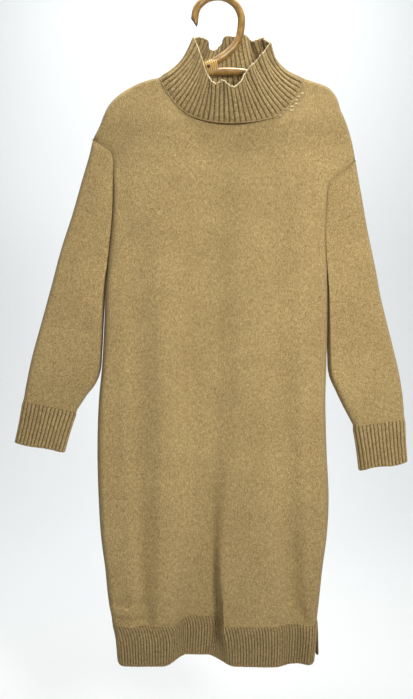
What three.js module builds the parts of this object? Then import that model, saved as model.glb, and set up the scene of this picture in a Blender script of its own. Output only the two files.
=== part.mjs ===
// A roll-neck sweater dress in fine knit, hung flat on a hanger of bent cane.
// Millimetres, +Z up. The front of the dress faces -Y and the wearer's hem points down.
// The origin is the inside top of the hanger's hook, where a peg or rail carries it.
// Left and right are as seen from the front.
import * as THREE from 'three';

// Cloth walls
const KNIT_WALL = 2.6;
const RIB_WALL = 1.8;
const RIB_HEIGHT = 1.3;
const RIM_RIB_SHARE = 0.1;
const SEAM_GAP = 0.3;
const ARMHOLE_GAP = 0.4;

// Levels of the main seams
const HEM_SEAM_Z = -1080;
const HEM_Z = -1146;

// Rounding of the cloth where it turns from front to back
const SIDE_ROUND = 14;
const SLEEVE_ROUND = 12;
const SHOULDER_ROUND = 9.7;
const FLAT_DEPTH = 10.5;

// Hanger
const CANE_RADIUS = 6.5;
const CANE_SIDES = 10;
const HOOK_RADIUS = 42;
const HOOK_CENTRE_Z = -35;
const HOOK_ARC_START = 145;
const HOOK_ARC_END = 8;
const BINDING_WALL = 1.6;
const BINDING_LENGTH = 9;
const BINDING_SLACK = 0.6;
const BINDING_ROUND = 0.5;
const BINDING_SIDES = 16;
const SEAT_SLACK = 0.4;

// Ribs on each ribbed band
const HEM_RIBS = 88;
const CUFF_RIBS = 31;
const COLLAR_FRONT_RIBS = 37;
const COLLAR_BACK_RIBS = 27;

// Share of the panel's width where each shoulder meets the neckline
const NECK_START = 0.22;

// Shoulder line from the neck to the tip of the drop shoulder
const SHOULDER_LEFT = [
  { x: -102, z: -136.5 },
  { x: -118, z: -139.5 },
  { x: -136, z: -145.5 },
  { x: -153, z: -154 },
  { x: -171, z: -165.5 },
  { x: -188, z: -182 },
  { x: -197, z: -198 },
  { x: -206, z: -221 },
  { x: -218, z: -244 },
];
const SHOULDER_RIGHT = [
  { x: 150, z: -137.5 },
  { x: 162, z: -141.5 },
  { x: 179, z: -147 },
  { x: 192, z: -152.5 },
  { x: 203, z: -163 },
  { x: 210, z: -176 },
  { x: 215, z: -193 },
  { x: 224, z: -214 },
  { x: 233, z: -242 },
  { x: 241, z: -281 },
];

// Neckline from the left shoulder to the right, in the front and in the back
const NECK_FRONT = [
  { x: -102, z: -136.5 },
  { x: -92, z: -158 },
  { x: -77, z: -181 },
  { x: -50, z: -208 },
  { x: -13, z: -220.5 },
  { x: 27, z: -223.5 },
  { x: 63, z: -220.5 },
  { x: 96, z: -212 },
  { x: 119, z: -195 },
  { x: 137, z: -172 },
  { x: 150, z: -137.5 },
];
const NECK_BACK = [
  { x: -102, z: -136.5 },
  { x: -70, z: -142 },
  { x: -20, z: -146 },
  { x: 24, z: -147 },
  { x: 70, z: -146 },
  { x: 120, z: -142.5 },
  { x: 150, z: -137.5 },
];

// Way out of a panel's rim at the shoulder tip and at the underarm, in the front view
const TIP_WAY_OUT = { x: 0.8, z: 0.6 };
const UNDERARM_WAY_OUT = { x: 0, z: -1 };

// Armhole seam from the shoulder tip to the underarm: depth of the seam in front and behind,
// and how far the wall's facing tilts from straight out (0) to along the outline (90 degrees).
const ARMHOLE_LEFT = [
  { across: 0, x: -218, z: -244, front: 0, back: 0, tilt: 90 },
  { across: 0.03, x: -208, z: -251, front: 7, back: 7, tilt: 35 },
  { across: 0.08, x: -197, z: -259.5, front: 10.5, back: 10, tilt: 8 },
  { across: 0.15, x: -186.5, z: -267.5, front: 10.5, back: 10, tilt: 0 },
  { across: 0.24, x: -181.5, z: -281, front: 8, back: 9, tilt: 0 },
  { across: 0.35, x: -181, z: -307, front: 7, back: 8.5, tilt: 0 },
  { across: 0.47, x: -181, z: -341, front: 7, back: 8.5, tilt: 0 },
  { across: 0.6, x: -182.5, z: -380, front: 7, back: 8.5, tilt: 0 },
  { across: 0.72, x: -185.5, z: -414, front: 7, back: 8.5, tilt: 0 },
  { across: 0.84, x: -188.5, z: -441, front: 7, back: 8, tilt: 10 },
  { across: 0.93, x: -190.5, z: -459, front: 5, back: 6, tilt: 40 },
  { across: 1, x: -191.5, z: -468, front: 0, back: 0, tilt: 90 },
];
const ARMHOLE_RIGHT = [
  { across: 0, x: 241, z: -281, front: 0, back: 0, tilt: 90 },
  { across: 0.03, x: 233, z: -288.5, front: 7, back: 7, tilt: 35 },
  { across: 0.08, x: 222.5, z: -298, front: 10.5, back: 10, tilt: 8 },
  { across: 0.15, x: 210, z: -307.5, front: 11, back: 10.5, tilt: 0 },
  { across: 0.24, x: 197.5, z: -317.5, front: 9.5, back: 9.5, tilt: 0 },
  { across: 0.35, x: 191, z: -333, front: 7.5, back: 8.5, tilt: 0 },
  { across: 0.47, x: 189, z: -360, front: 7, back: 8.5, tilt: 0 },
  { across: 0.6, x: 187, z: -394, front: 7, back: 8.5, tilt: 0 },
  { across: 0.72, x: 187, z: -426, front: 7, back: 8.5, tilt: 0 },
  { across: 0.84, x: 188.5, z: -454, front: 7, back: 8, tilt: 10 },
  { across: 0.93, x: 190, z: -472, front: 5, back: 6, tilt: 40 },
  { across: 1, x: 191, z: -482, front: 0, back: 0, tilt: 90 },
];

// Side seams from the underarm to the hem band
const SIDE_LEFT = [
  { x: -191.5, z: -468 },
  { x: -195.5, z: -510 },
  { x: -198, z: -575 },
  { x: -201.5, z: -640 },
  { x: -207, z: -700 },
  { x: -209.5, z: -780 },
  { x: -207.5, z: -865 },
  { x: -203, z: -935 },
  { x: -195.5, z: -992 },
  { x: -190, z: -1045 },
  { x: -183, z: HEM_SEAM_Z },
];
const SIDE_RIGHT = [
  { x: 191, z: -482 },
  { x: 191.5, z: -530 },
  { x: 191, z: -590 },
  { x: 189.5, z: -645 },
  { x: 188, z: -700 },
  { x: 190, z: -785 },
  { x: 193.5, z: -870 },
  { x: 190.5, z: -930 },
  { x: 182.5, z: -990 },
  { x: 177, z: -1040 },
  { x: 172.5, z: HEM_SEAM_Z },
];

// Free edges of the hem band at the side slits
const HEM_EDGES = [
  { z: HEM_SEAM_Z, frontLeft: -182.5, frontRight: 172, backLeft: -182.5, backRight: 173, open: 0 },
  { z: -1110, frontLeft: -173.5, frontRight: 170, backLeft: -179, backRight: 176.5, open: 3 },
  { z: HEM_Z, frontLeft: -169, frontRight: 166, backLeft: -177.5, backRight: 178, open: 5 },
];

// Depth of the cloth in front of and behind the hanger's plane, and how much less at the sides
const BODY_DEPTHS = [
  { z: -130, front: 10.5, back: 10.5, taper: 0.95 },
  { z: -160, front: 13, back: 12, taper: 0.95 },
  { z: -190, front: 19, back: 13.5, taper: 0.95 },
  { z: -225, front: 27, back: 15, taper: 0.95 },
  { z: -280, front: 28, back: 16, taper: 0.8 },
  { z: -340, front: 28, back: 16, taper: 0.4 },
  { z: -450, front: 30, back: 16.5, taper: 0.3 },
  { z: -620, front: 33, back: 17, taper: 0.3 },
  { z: -800, front: 35, back: 19, taper: 0.3 },
  { z: -950, front: 37, back: 20.5, taper: 0.25 },
  { z: HEM_SEAM_Z, front: 39, back: 23, taper: 0.2 },
  { z: HEM_Z, front: 40, back: 24, taper: 0.2 },
];

// Troughs of the hanging cloth, down their length: middle, half width of the floor, width of the
// flank on each side, and how far the cloth falls back
const FRONT_FOLDS = [
  [
    { z: -270, x: -24, floor: 18, left: 50, right: 50, by: 0 },
    { z: -520, x: -24, floor: 18, left: 50, right: 50, by: 6 },
    { z: -700, x: -24, floor: 18, left: 50, right: 48, by: 12 },
    { z: -900, x: -26, floor: 20, left: 50, right: 34, by: 22 },
    { z: -1000, x: -28, floor: 23, left: 42, right: 22, by: 33 },
    { z: HEM_SEAM_Z, x: -28, floor: 25, left: 28, right: 20, by: 45 },
    { z: HEM_Z, x: -36, floor: 24, left: 27, right: 32, by: 47 },
  ],
  [
    { z: -280, x: -138, floor: 4, left: 26, right: 26, by: 0 },
    { z: -520, x: -136, floor: 4, left: 26, right: 26, by: 3 },
    { z: -780, x: -133, floor: 4, left: 26, right: 26, by: 5 },
    { z: -980, x: -131, floor: 4, left: 26, right: 26, by: 7 },
    { z: -1060, x: -131, floor: 4, left: 26, right: 26, by: 7 },
    { z: -1110, x: -130, floor: 4, left: 26, right: 26, by: 0 },
  ],
  [
    { z: -320, x: 111, floor: 4, left: 28, right: 28, by: 0 },
    { z: -520, x: 111, floor: 4, left: 28, right: 28, by: 3 },
    { z: -700, x: 113, floor: 4, left: 28, right: 28, by: 5 },
    { z: -880, x: 116, floor: 4, left: 28, right: 28, by: 8 },
    { z: -1010, x: 121, floor: 4, left: 28, right: 28, by: 11 },
    { z: HEM_SEAM_Z, x: 126, floor: 4, left: 28, right: 28, by: 11 },
    { z: HEM_Z, x: 126, floor: 4, left: 28, right: 28, by: 9 },
  ],
];
const BACK_FOLDS = [
  [
    { z: -420, x: -96, floor: 6, left: 34, right: 34, by: 0 },
    { z: -760, x: -104, floor: 6, left: 34, right: 34, by: 3 },
    { z: -1000, x: -109, floor: 6, left: 34, right: 34, by: 6 },
    { z: HEM_Z, x: -112, floor: 6, left: 34, right: 34, by: 7 },
  ],
  [
    { z: -360, x: 84, floor: 6, left: 38, right: 38, by: 0 },
    { z: -700, x: 87, floor: 6, left: 38, right: 38, by: 3 },
    { z: -960, x: 90, floor: 6, left: 38, right: 38, by: 6 },
    { z: HEM_Z, x: 92, floor: 6, left: 38, right: 38, by: 8 },
  ],
];

// Sleeve outlines from the armhole to the cuff seam, and the rounding of the edge beside the body
const SLEEVE_LEFT = {
  sign: -1,
  armhole: ARMHOLE_LEFT,
  outer: [
    { x: -218, z: -244 },
    { x: -223.5, z: -270 },
    { x: -236, z: -313 },
    { x: -253.5, z: -375 },
    { x: -273, z: -436 },
    { x: -290, z: -500 },
    { x: -307.5, z: -564 },
    { x: -324.5, z: -626 },
    { x: -333.5, z: -668 },
    { x: -339, z: -699 },
  ],
  inner: [
    { x: -191.5, z: -468 },
    { x: -195.6, z: -492 },
    { x: -199, z: -555 },
    { x: -201.4, z: -610 },
    { x: -205, z: -650 },
    { x: -214, z: -672 },
    { x: -228, z: -690 },
    { x: -240, z: -708 },
    { x: -247, z: -718.5 },
  ],
  innerRound: 12,
  cuffOuter: { x: -353, z: -772 },
  cuffInner: { x: -268.5, z: -788 },
  hemWave: 0.8,
};
const SLEEVE_RIGHT = {
  sign: 1,
  armhole: ARMHOLE_RIGHT,
  outer: [
    { x: 241, z: -281 },
    { x: 246, z: -311 },
    { x: 253.5, z: -354 },
    { x: 260.5, z: -396 },
    { x: 269, z: -438 },
    { x: 277.5, z: -480 },
    { x: 285, z: -521 },
    { x: 295.5, z: -564 },
    { x: 306, z: -606 },
    { x: 316, z: -648 },
    { x: 323, z: -690 },
    { x: 326.5, z: -731 },
  ],
  inner: [
    { x: 191, z: -482 },
    { x: 192.8, z: -506 },
    { x: 193, z: -560 },
    { x: 192.6, z: -620 },
    { x: 195, z: -655 },
    { x: 207.5, z: -685 },
    { x: 219, z: -709 },
    { x: 229.5, z: -729 },
    { x: 237.5, z: -744 },
  ],
  innerRound: 7,
  cuffOuter: { x: 330.5, z: -806 },
  cuffInner: { x: 248.5, z: -819 },
  hemWave: 1.4,
};
const SLEEVE_DEPTHS = [
  { along: 0, front: 13, back: 12 },
  { along: 0.2, front: 15, back: 14 },
  { along: 0.5, front: 16.5, back: 15 },
  { along: 0.8, front: 15.5, back: 14.5 },
  { along: 1, front: 11, back: 11 },
];
// Share of a sleeve's length from where its inner edge takes on the cuff's rounding
const LAST_BEND = 0.6;
const CUFF_END_HALF_DEPTH = 9.5;
const CUFF_WAVES = 3;

// Upper edge of the collar, once round from the left peak over the front, with its ruffles
const COLLAR_EDGE_FRONT = [
  { x: -41, y: 0, z: -66 },
  { x: -32, y: -14, z: -96 },
  { x: -23.5, y: -24, z: -125 },
  { x: -16, y: -31, z: -147 },
  { x: -3, y: -40, z: -163 },
  { x: 7, y: -44, z: -159 },
  { x: 26, y: -46, z: -171 },
  { x: 36, y: -42, z: -163 },
  { x: 43, y: -36, z: -149 },
  { x: 56, y: -28, z: -129 },
  { x: 72, y: -19, z: -109 },
  { x: 86, y: -8, z: -87 },
  { x: 89.5, y: 2, z: -71 },
];
const COLLAR_EDGE_BACK = [
  { x: 89.5, y: 2, z: -71 },
  { x: 79, y: 12, z: -60.5 },
  { x: 64, y: 22, z: -64 },
  { x: 53, y: 25, z: -52 },
  { x: 26, y: 24, z: -53.5 },
  { x: 12, y: 25, z: -56 },
  { x: 1, y: 30, z: -75 },
  { x: -11, y: 28, z: -74 },
  { x: -22, y: 18, z: -61 },
  { x: -34, y: 7, z: -61.5 },
  { x: -41, y: 0, z: -66 },
];
// How far the collar bends in and down at each side before it rises, and how much it bulges
const COLLAR_FLARE_LEFT = { x: 12, z: -15 };
const COLLAR_FLARE_RIGHT = { x: -18, z: -21 };
const COLLAR_BULGE = 0.8;
const COLLAR_ROWS = 5;
const COLLAR_GAP = 0.45;

// Free stretches of the hanger's canes between the hook and the shoulders
const HOOK_TIP = [
  { x: -40.5, z: -38 },
  { x: -38.5, z: -22 },
];
const HOOK_NECK = [
  { x: 41.5, z: -43 },
  { x: 38.5, z: -62 },
  { x: 31, z: -77.5 },
  { x: 19.5, z: -90 },
  { x: 4.5, z: -101 },
  { x: -11.5, z: -110.5 },
  { x: -26, z: -119.5 },
  { x: -48, z: -130.5 },
  { x: -76, z: -143 },
];
const RIGHT_ARM_START = [
  { x: -3, z: -122.4 },
  { x: 8, z: -122 },
  { x: 45, z: -125 },
  { x: 82, z: -134 },
  { x: 118, z: -143 },
];
const LEFT_SEATS = 5;
const RIGHT_SEATS = 3;
const RIGHT_ARM_END = { x: 187, z: -163.5 };
const HOOK_ARC_STEPS = 6;
const LEFT_CANE_STEPS = 38;
const RIGHT_CANE_STEPS = 16;
const JUNCTION = { x: -12, z: -110.8, along: { x: -0.86, z: -0.51 } };

// Panel grids: columns over one shoulder and rows between the armhole's stations
const SHOULDER_COLUMNS = [0, 0.008, 0.022, 0.045, 0.08, 0.115, 0.15, 0.185];
const HALF_NECK_COLUMNS = [0, 0.006, 0.02, 0.045, 0.12, 0.21, 0.31, 0.41];
const TIP_ROWS = [0.15, 0.5];
const FRONT_LOWER_ROWS = 15;
const BACK_LOWER_ROWS = 9;
const HEM_ROWS_FRONT = 2;
const HEM_ROWS_BACK = 2;
const SLEEVE_RINGS = [0, 0.01, 0.03, 0.07, 0.13, 0.2, 0.29, 0.38, 0.47, 0.56, 0.65, 0.74, 0.83, 0.92, 1];
const CUFF_ROWS = 2;
const EVEN_SAMPLES = 240;
const COURSE_SAMPLES = 400;
const CHAIN_STEPS = 24;
// Share of a chain over which its direction is taken
const LOOK_AHEAD = 0.01;
const TINY = 1e-9;

const FRONT = -1;
const BACK = 1;

const knit = new THREE.MeshStandardMaterial({ color: 0xa38d60, roughness: 0.95, metalness: 0 });
const rib = new THREE.MeshStandardMaterial({ color: 0x97825a, roughness: 0.95, metalness: 0 });
const cane = new THREE.MeshStandardMaterial({ color: 0x9c6a2c, roughness: 0.4, metalness: 0 });
const binding = new THREE.MeshStandardMaterial({ color: 0x7a4f20, roughness: 0.5, metalness: 0 });

const mix = THREE.MathUtils.lerp;
const clamp01 = (t) => Math.min(1, Math.max(0, t));
const smooth = (t) => THREE.MathUtils.smoothstep(t, 0, 1);

// Height of a quarter circle over its run, 0 at the edge and 1 from there on
function quarter(t) {
  const rest = 1 - clamp01(t);
  return Math.sqrt(1 - rest * rest);
}

// Value of one column of a table between the two rows that hold the key
function lookUp(rows, key, at, column) {
  const falling = rows[0][key] > rows[rows.length - 1][key];
  const place = (row) => (falling ? -row[key] : row[key]);
  const target = falling ? -at : at;
  let next = rows.findIndex((row) => place(row) >= target);
  if (next === -1) next = rows.length - 1;
  if (next === 0) return rows[0][column];
  const from = rows[next - 1];
  const to = rows[next];
  const share = clamp01((target - place(from)) / (place(to) - place(from)));
  return mix(from[column], to[column], share);
}

// Smooth course through the rows of an outline table
function course(rows) {
  const points = rows.map((row) => new THREE.Vector3(row.x, row.y ?? 0, row.z));
  const curve = new THREE.CatmullRomCurve3(points, false, 'centripetal');
  curve.arcLengthDivisions = COURSE_SAMPLES;
  return curve;
}

// Point on a chain of straight steps at a share of its length
function onChain(chain, share) {
  const lengths = [0];
  for (let k = 1; k < chain.length; k += 1) {
    lengths.push(lengths[k - 1] + chain[k].distanceTo(chain[k - 1]));
  }
  const target = share * lengths[lengths.length - 1];
  let next = lengths.findIndex((length) => length >= target - TINY);
  if (next < 1) next = 1;
  const part = (target - lengths[next - 1]) / (lengths[next] - lengths[next - 1]);
  return chain[next - 1].clone().lerp(chain[next], clamp01(part));
}

// Distance in the front view from a point to a chain of straight steps
function distanceToChain(chain, x, z) {
  let nearest = Infinity;
  for (let k = 1; k < chain.length; k += 1) {
    const from = chain[k - 1];
    const stepX = chain[k].x - from.x;
    const stepZ = chain[k].z - from.z;
    const along = ((x - from.x) * stepX + (z - from.z) * stepZ) / (stepX * stepX + stepZ * stepZ);
    const share = clamp01(along);
    nearest = Math.min(nearest, Math.hypot(x - from.x - share * stepX, z - from.z - share * stepZ));
  }
  return nearest;
}

// Facing of each point of a grid, from its neighbours
function facings(grid, ring, sign) {
  const rows = grid.length;
  const columns = grid[0].length;
  return grid.map((row, j) => row.map((_, i) => {
    const before = ring ? (i + columns - 1) % columns : Math.max(0, i - 1);
    const after = ring ? (i + 1) % columns : Math.min(columns - 1, i + 1);
    const across = grid[j][after].clone().sub(grid[j][before]);
    const down = grid[Math.min(rows - 1, j + 1)][i].clone().sub(grid[Math.max(0, j - 1)][i]);
    return down.cross(across).multiplyScalar(sign).normalize();
  }));
}

// Triangles along one rim, between the outer points and the inner points below them
function rimFaces(outer, inner, perInner, flip) {
  const faces = [];
  for (let k = 0; k < inner.length - 1; k += 1) {
    const first = outer[k * perInner];
    const last = outer[(k + 1) * perInner];
    if (perInner === 1) {
      faces.push([last, first, inner[k]], [last, inner[k], inner[k + 1]]);
    } else {
      const middle = outer[k * perInner + 1];
      faces.push([middle, first, inner[k]], [last, middle, inner[k + 1]]);
      faces.push([middle, inner[k], inner[k + 1]]);
    }
  }
  return flip ? faces.map(([a, b, c]) => [b, a, c]) : faces;
}

// One cloth wall: a grid of outer points over a plain inside, closed along its rims
function clothWall(name, material, outer, inner, { ring = false, perInner = 1 } = {}) {
  const positions = [];
  const number = (grid) => grid.map((row) => row.map((point) => positions.push(point) - 1));
  const wrap = (grid) => (ring ? grid.map((row) => [...row, row[0]]) : grid);
  const outside = wrap(number(outer));
  const inside = wrap(number(inner));
  const faces = [];
  const sheet = (grid, flip) => {
    for (let j = 0; j < grid.length - 1; j += 1) {
      for (let i = 0; i < grid[j].length - 1; i += 1) {
        const [a, b, c, d] = [grid[j][i], grid[j][i + 1], grid[j + 1][i + 1], grid[j + 1][i]];
        faces.push(...(flip ? [[a, c, b], [a, d, c]] : [[a, b, c], [a, c, d]]));
      }
    }
  };
  sheet(outside, false);
  sheet(inside, true);
  const last = outside.length - 1;
  faces.push(...rimFaces(outside[0], inside[0], perInner, false));
  faces.push(...rimFaces(outside[last], inside[last], perInner, true));
  if (!ring) {
    const column = (grid, end) => grid.map((row) => row[end < 0 ? row.length - 1 : 0]);
    faces.push(...rimFaces(column(outside, 0), column(inside, 0), 1, true));
    faces.push(...rimFaces(column(outside, -1), column(inside, -1), 1, false));
  }
  return solid(name, material, positions, faces);
}

// Mesh from points and faces, turned so that its faces point out
function solid(name, material, positions, faces) {
  let volume = 0;
  for (const [a, b, c] of faces) {
    volume += positions[a].dot(positions[b].clone().cross(positions[c]));
  }
  const turned = volume < 0 ? faces.map(([a, b, c]) => [a, c, b]) : faces;
  const geometry = new THREE.BufferGeometry();
  geometry.setAttribute('position', new THREE.Float32BufferAttribute(
    positions.flatMap((point) => [point.x, point.y, point.z]), 3));
  geometry.setIndex(turned.flat());
  geometry.computeVertexNormals();
  const mesh = new THREE.Mesh(geometry, material);
  mesh.name = name;
  return mesh;
}

// Shoulder and neckline points that the panels and the collar share
const leftShoulder = course(SHOULDER_LEFT);
const rightShoulder = course(SHOULDER_RIGHT);
const neckCourse = { [FRONT]: course(NECK_FRONT), [BACK]: course(NECK_BACK) };
const leftShoulderChain = leftShoulder.getSpacedPoints(CHAIN_STEPS);
const rightShoulderChain = rightShoulder.getSpacedPoints(CHAIN_STEPS);

// How much the folds push the cloth back towards the hanger's plane
function foldDepth(folds, x, z) {
  let total = 0;
  for (const fold of folds) {
    const at = (column) => lookUp(fold, 'z', z, column);
    const off = x - at('x');
    const away = Math.abs(off) - at('floor');
    total += (1 - smooth(away / at(off < 0 ? 'left' : 'right'))) * at('by');
  }
  return total;
}

// Depth of the body's cloth at a place in the front view, away from its side edges
function bodyDepth(face, x, z, left, right) {
  const middle = (left + right) / 2;
  const out = clamp01(Math.abs(x - middle) / ((right - left) / 2));
  const taper = 1 - lookUp(BODY_DEPTHS, 'z', z, 'taper') * out ** 3;
  const full = lookUp(BODY_DEPTHS, 'z', z, face === FRONT ? 'front' : 'back');
  const folds = foldDepth(face === FRONT ? FRONT_FOLDS : BACK_FOLDS, x, z);
  const plain = FLAT_DEPTH + (full - FLAT_DEPTH) * taper - folds;
  const fromShoulder = Math.min(
    distanceToChain(leftShoulderChain, x, z),
    distanceToChain(rightShoulderChain, x, z));
  return face * plain * quarter(fromShoulder / SHOULDER_ROUND);
}

// Station on a side edge: place, depth in each face and facing, with the row as a running number
function sideStation(armhole, seam, row) {
  const last = armhole.length - 1;
  const sign = Math.sign(armhole[0].x);
  if (row > last) {
    const point = seam.getPointAt(row - last);
    const out = { x: sign, z: 0 };
    return { x: point.x, z: point.z, front: SEAM_GAP / 2, back: SEAM_GAP / 2, tilt: 90, out };
  }
  const from = armhole[Math.floor(row)];
  const to = armhole[Math.min(last, Math.floor(row) + 1)];
  const share = row - Math.floor(row);
  const at = (column) => mix(from[column], to[column], share);
  const upper = { x: sign * TIP_WAY_OUT.x, z: TIP_WAY_OUT.z };
  return {
    x: at('x'),
    z: at('z'),
    front: Math.max(SEAM_GAP / 2, at('front')),
    back: Math.max(SEAM_GAP / 2, at('back')),
    tilt: at('tilt'),
    out: row < last / 2 ? upper : UNDERARM_WAY_OUT,
  };
}

// Facing of a wall at a side or armhole station
function stationFacing(face, station) {
  const tilt = THREE.MathUtils.degToRad(station.tilt);
  const { x, z } = station.out;
  return new THREE.Vector3(x * Math.sin(tilt), face * Math.cos(tilt), z * Math.sin(tilt)).normalize();
}

// Direction across the armhole seam in the front view, from the body to the sleeve
function acrossSeam(armhole, row) {
  const sign = Math.sign(armhole[0].x);
  const from = armhole[Math.max(0, Math.ceil(row) - 1)];
  const to = armhole[Math.min(armhole.length - 1, Math.floor(row) + 1)];
  const length = Math.hypot(to.x - from.x, to.z - from.z);
  return { x: (sign * (from.z - to.z)) / length, z: (sign * (to.x - from.x)) / length };
}

const leftSeam = course(SIDE_LEFT);
const rightSeam = course(SIDE_RIGHT);
const upperRows = [0, ...TIP_ROWS];
for (let row = 1; row < ARMHOLE_LEFT.length; row += 1) upperRows.push(row);

function panelRows(lowerRows) {
  const rows = [...upperRows];
  const underarm = ARMHOLE_LEFT.length - 1;
  for (let step = 1; step <= lowerRows; step += 1) rows.push(underarm + step / lowerRows);
  return rows;
}

const halfColumns = [
  ...SHOULDER_COLUMNS,
  ...HALF_NECK_COLUMNS.map((share) => mix(NECK_START, 1 - NECK_START, share)),
];
const panelColumns = [...halfColumns, 0.5, ...halfColumns.map((u) => 1 - u).reverse()];

// Point of a panel's upper rim: shoulder, neckline, shoulder
function upperRim(face, u) {
  if (u < NECK_START) return leftShoulder.getPointAt(1 - u / NECK_START);
  if (u > 1 - NECK_START) return rightShoulder.getPointAt(1 - (1 - u) / NECK_START);
  return neckCourse[face].getPointAt(clamp01((u - NECK_START) / (1 - 2 * NECK_START)));
}

// Grid of one body panel with its facings
function panelGrid(face, lowerRows) {
  const rows = panelRows(lowerRows);
  const underarm = ARMHOLE_LEFT.length - 1;
  const stations = rows.map((row) => ({
    row,
    left: sideStation(ARMHOLE_LEFT, leftSeam, row),
    right: sideStation(ARMHOLE_RIGHT, rightSeam, row),
  }));
  const tips = stations[0];
  const hem = stations[stations.length - 1];
  const points = stations.map(({ row, left, right }) => {
    const leftShare = (left.z - tips.left.z) / (hem.left.z - tips.left.z);
    const rightShare = (right.z - tips.right.z) / (hem.right.z - tips.right.z);
    const v = (leftShare + rightShare) / 2;
    return panelColumns.map((u) => {
      const top = upperRim(face, u);
      const pull = (edge, start, end, key) => edge[key] - mix(start[key], end[key], v);
      const place = (key) => mix(top[key], mix(hem.left[key], hem.right[key], u), v)
        + (1 - smooth(u / NECK_START)) * pull(left, tips.left, hem.left, key)
        + (1 - smooth((1 - u) / NECK_START)) * pull(right, tips.right, hem.right, key);
      let x = place('x');
      let z = place('z');
      if (row === 0) [x, z] = [top.x, top.z];
      let y = bodyDepth(face, x, z, left.x, right.x);
      const leftY = face * (face === FRONT ? left.front : left.back);
      const rightY = face * (face === FRONT ? right.front : right.back);
      y = mix(leftY, y, quarter(Math.hypot(x - left.x, z - left.z) / SIDE_ROUND));
      y = mix(rightY, y, quarter(Math.hypot(x - right.x, z - right.z) / SIDE_ROUND));
      if (Math.abs(y) < SEAM_GAP / 2) y = (face * SEAM_GAP) / 2;
      const point = new THREE.Vector3(x, y, z);
      if ((u === 0 || u === 1) && row <= underarm) {
        const across = acrossSeam(u === 0 ? ARMHOLE_LEFT : ARMHOLE_RIGHT, row);
        point.x -= (across.x * ARMHOLE_GAP) / 2;
        point.z -= (across.z * ARMHOLE_GAP) / 2;
      }
      return point;
    });
  });
  const normals = facings(points, false, -face);
  const lastColumn = panelColumns.length - 1;
  stations.forEach(({ left, right }, j) => {
    normals[j][0] = stationFacing(face, left);
    normals[j][lastColumn] = stationFacing(face, right);
  });
  normals[0].forEach((facing, i) => {
    const onShoulder = panelColumns[i] <= NECK_START || panelColumns[i] >= 1 - NECK_START;
    if (onShoulder) facing.copy(shoulderFacing(points[0], i));
  });
  normals[normals.length - 1].forEach((facing) => facing.setZ(0).normalize());
  return { points, normals };
}

// Facing of the shoulder's rim in the hanger's plane, square to the shoulder line
function shoulderFacing(rim, i) {
  const u = panelColumns[i];
  const from = u > 0 && u !== 1 - NECK_START ? rim[i - 1] : rim[i];
  const to = u < 1 && u !== NECK_START ? rim[i + 1] : rim[i];
  return new THREE.Vector3(from.z - to.z, 0, to.x - from.x).normalize();
}

// Inner points of a plain wall
function insideOf(points, normals, wall) {
  const sunk = (point, facing) => point.clone().addScaledVector(facing, -wall);
  return points.map((row, j) => row.map((point, i) => sunk(point, normals[j][i])));
}

function bodyPanel(name, face, lowerRows) {
  const { points, normals } = panelGrid(face, lowerRows);
  return clothWall(name, knit, points, insideOf(points, normals, KNIT_WALL));
}

// Ribbed wall: valleys on the given points, ridges between them, over a plain inside
function ribbedWall(name, points, normals, { ring = false, rimShare = [1, 1] } = {}) {
  const last = points.length - 1;
  const outer = points.map((row, j) => row.map((point, i) => {
    const share = j === 0 ? rimShare[0] : j === last ? rimShare[1] : 1;
    const height = i % 2 === 1 ? RIB_HEIGHT * share : 0;
    return point.clone().addScaledVector(normals[j][i], height);
  }));
  const inner = insideOf(points, normals, RIB_WALL).map((row) => row.filter((_, i) => i % 2 === 0));
  return clothWall(name, rib, outer, inner, { ring, perInner: 2 });
}

// Points evenly spaced along the curve y(x) between two edges
function evenAcross(yOf, left, right, count) {
  const samples = Array.from({ length: EVEN_SAMPLES + 1 }, (_, k) => {
    const x = mix(left, right, (1 - Math.cos((Math.PI * k) / EVEN_SAMPLES)) / 2);
    return new THREE.Vector3(x, yOf(x), 0);
  });
  return Array.from({ length: count + 1 }, (_, k) => onChain(samples, k / count));
}

function hemBand(name, face, rows) {
  const side = face === FRONT ? 'front' : 'back';
  const points = [];
  for (let j = 0; j <= rows; j += 1) {
    const z = mix(HEM_SEAM_Z - SEAM_GAP, HEM_Z, j / rows);
    const left = lookUp(HEM_EDGES, 'z', z, `${side}Left`);
    const right = lookUp(HEM_EDGES, 'z', z, `${side}Right`);
    const edgeY = face * (SEAM_GAP + lookUp(HEM_EDGES, 'z', z, 'open'));
    const yOf = (x) => {
      const y = bodyDepth(face, x, z, left, right);
      const fromEdge = Math.min(x - left, right - x);
      return mix(edgeY, y, quarter(fromEdge / SIDE_ROUND));
    };
    points.push(evenAcross(yOf, left, right, 2 * HEM_RIBS).map((point) => point.setZ(z)));
  }
  const normals = facings(points, false, -face);
  for (const row of normals) {
    row[0].set(-1, 0, 0);
    row[row.length - 1].set(1, 0, 0);
    row.forEach((facing) => facing.setZ(0).normalize());
  }
  return ribbedWall(name, points, normals);
}

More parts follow.
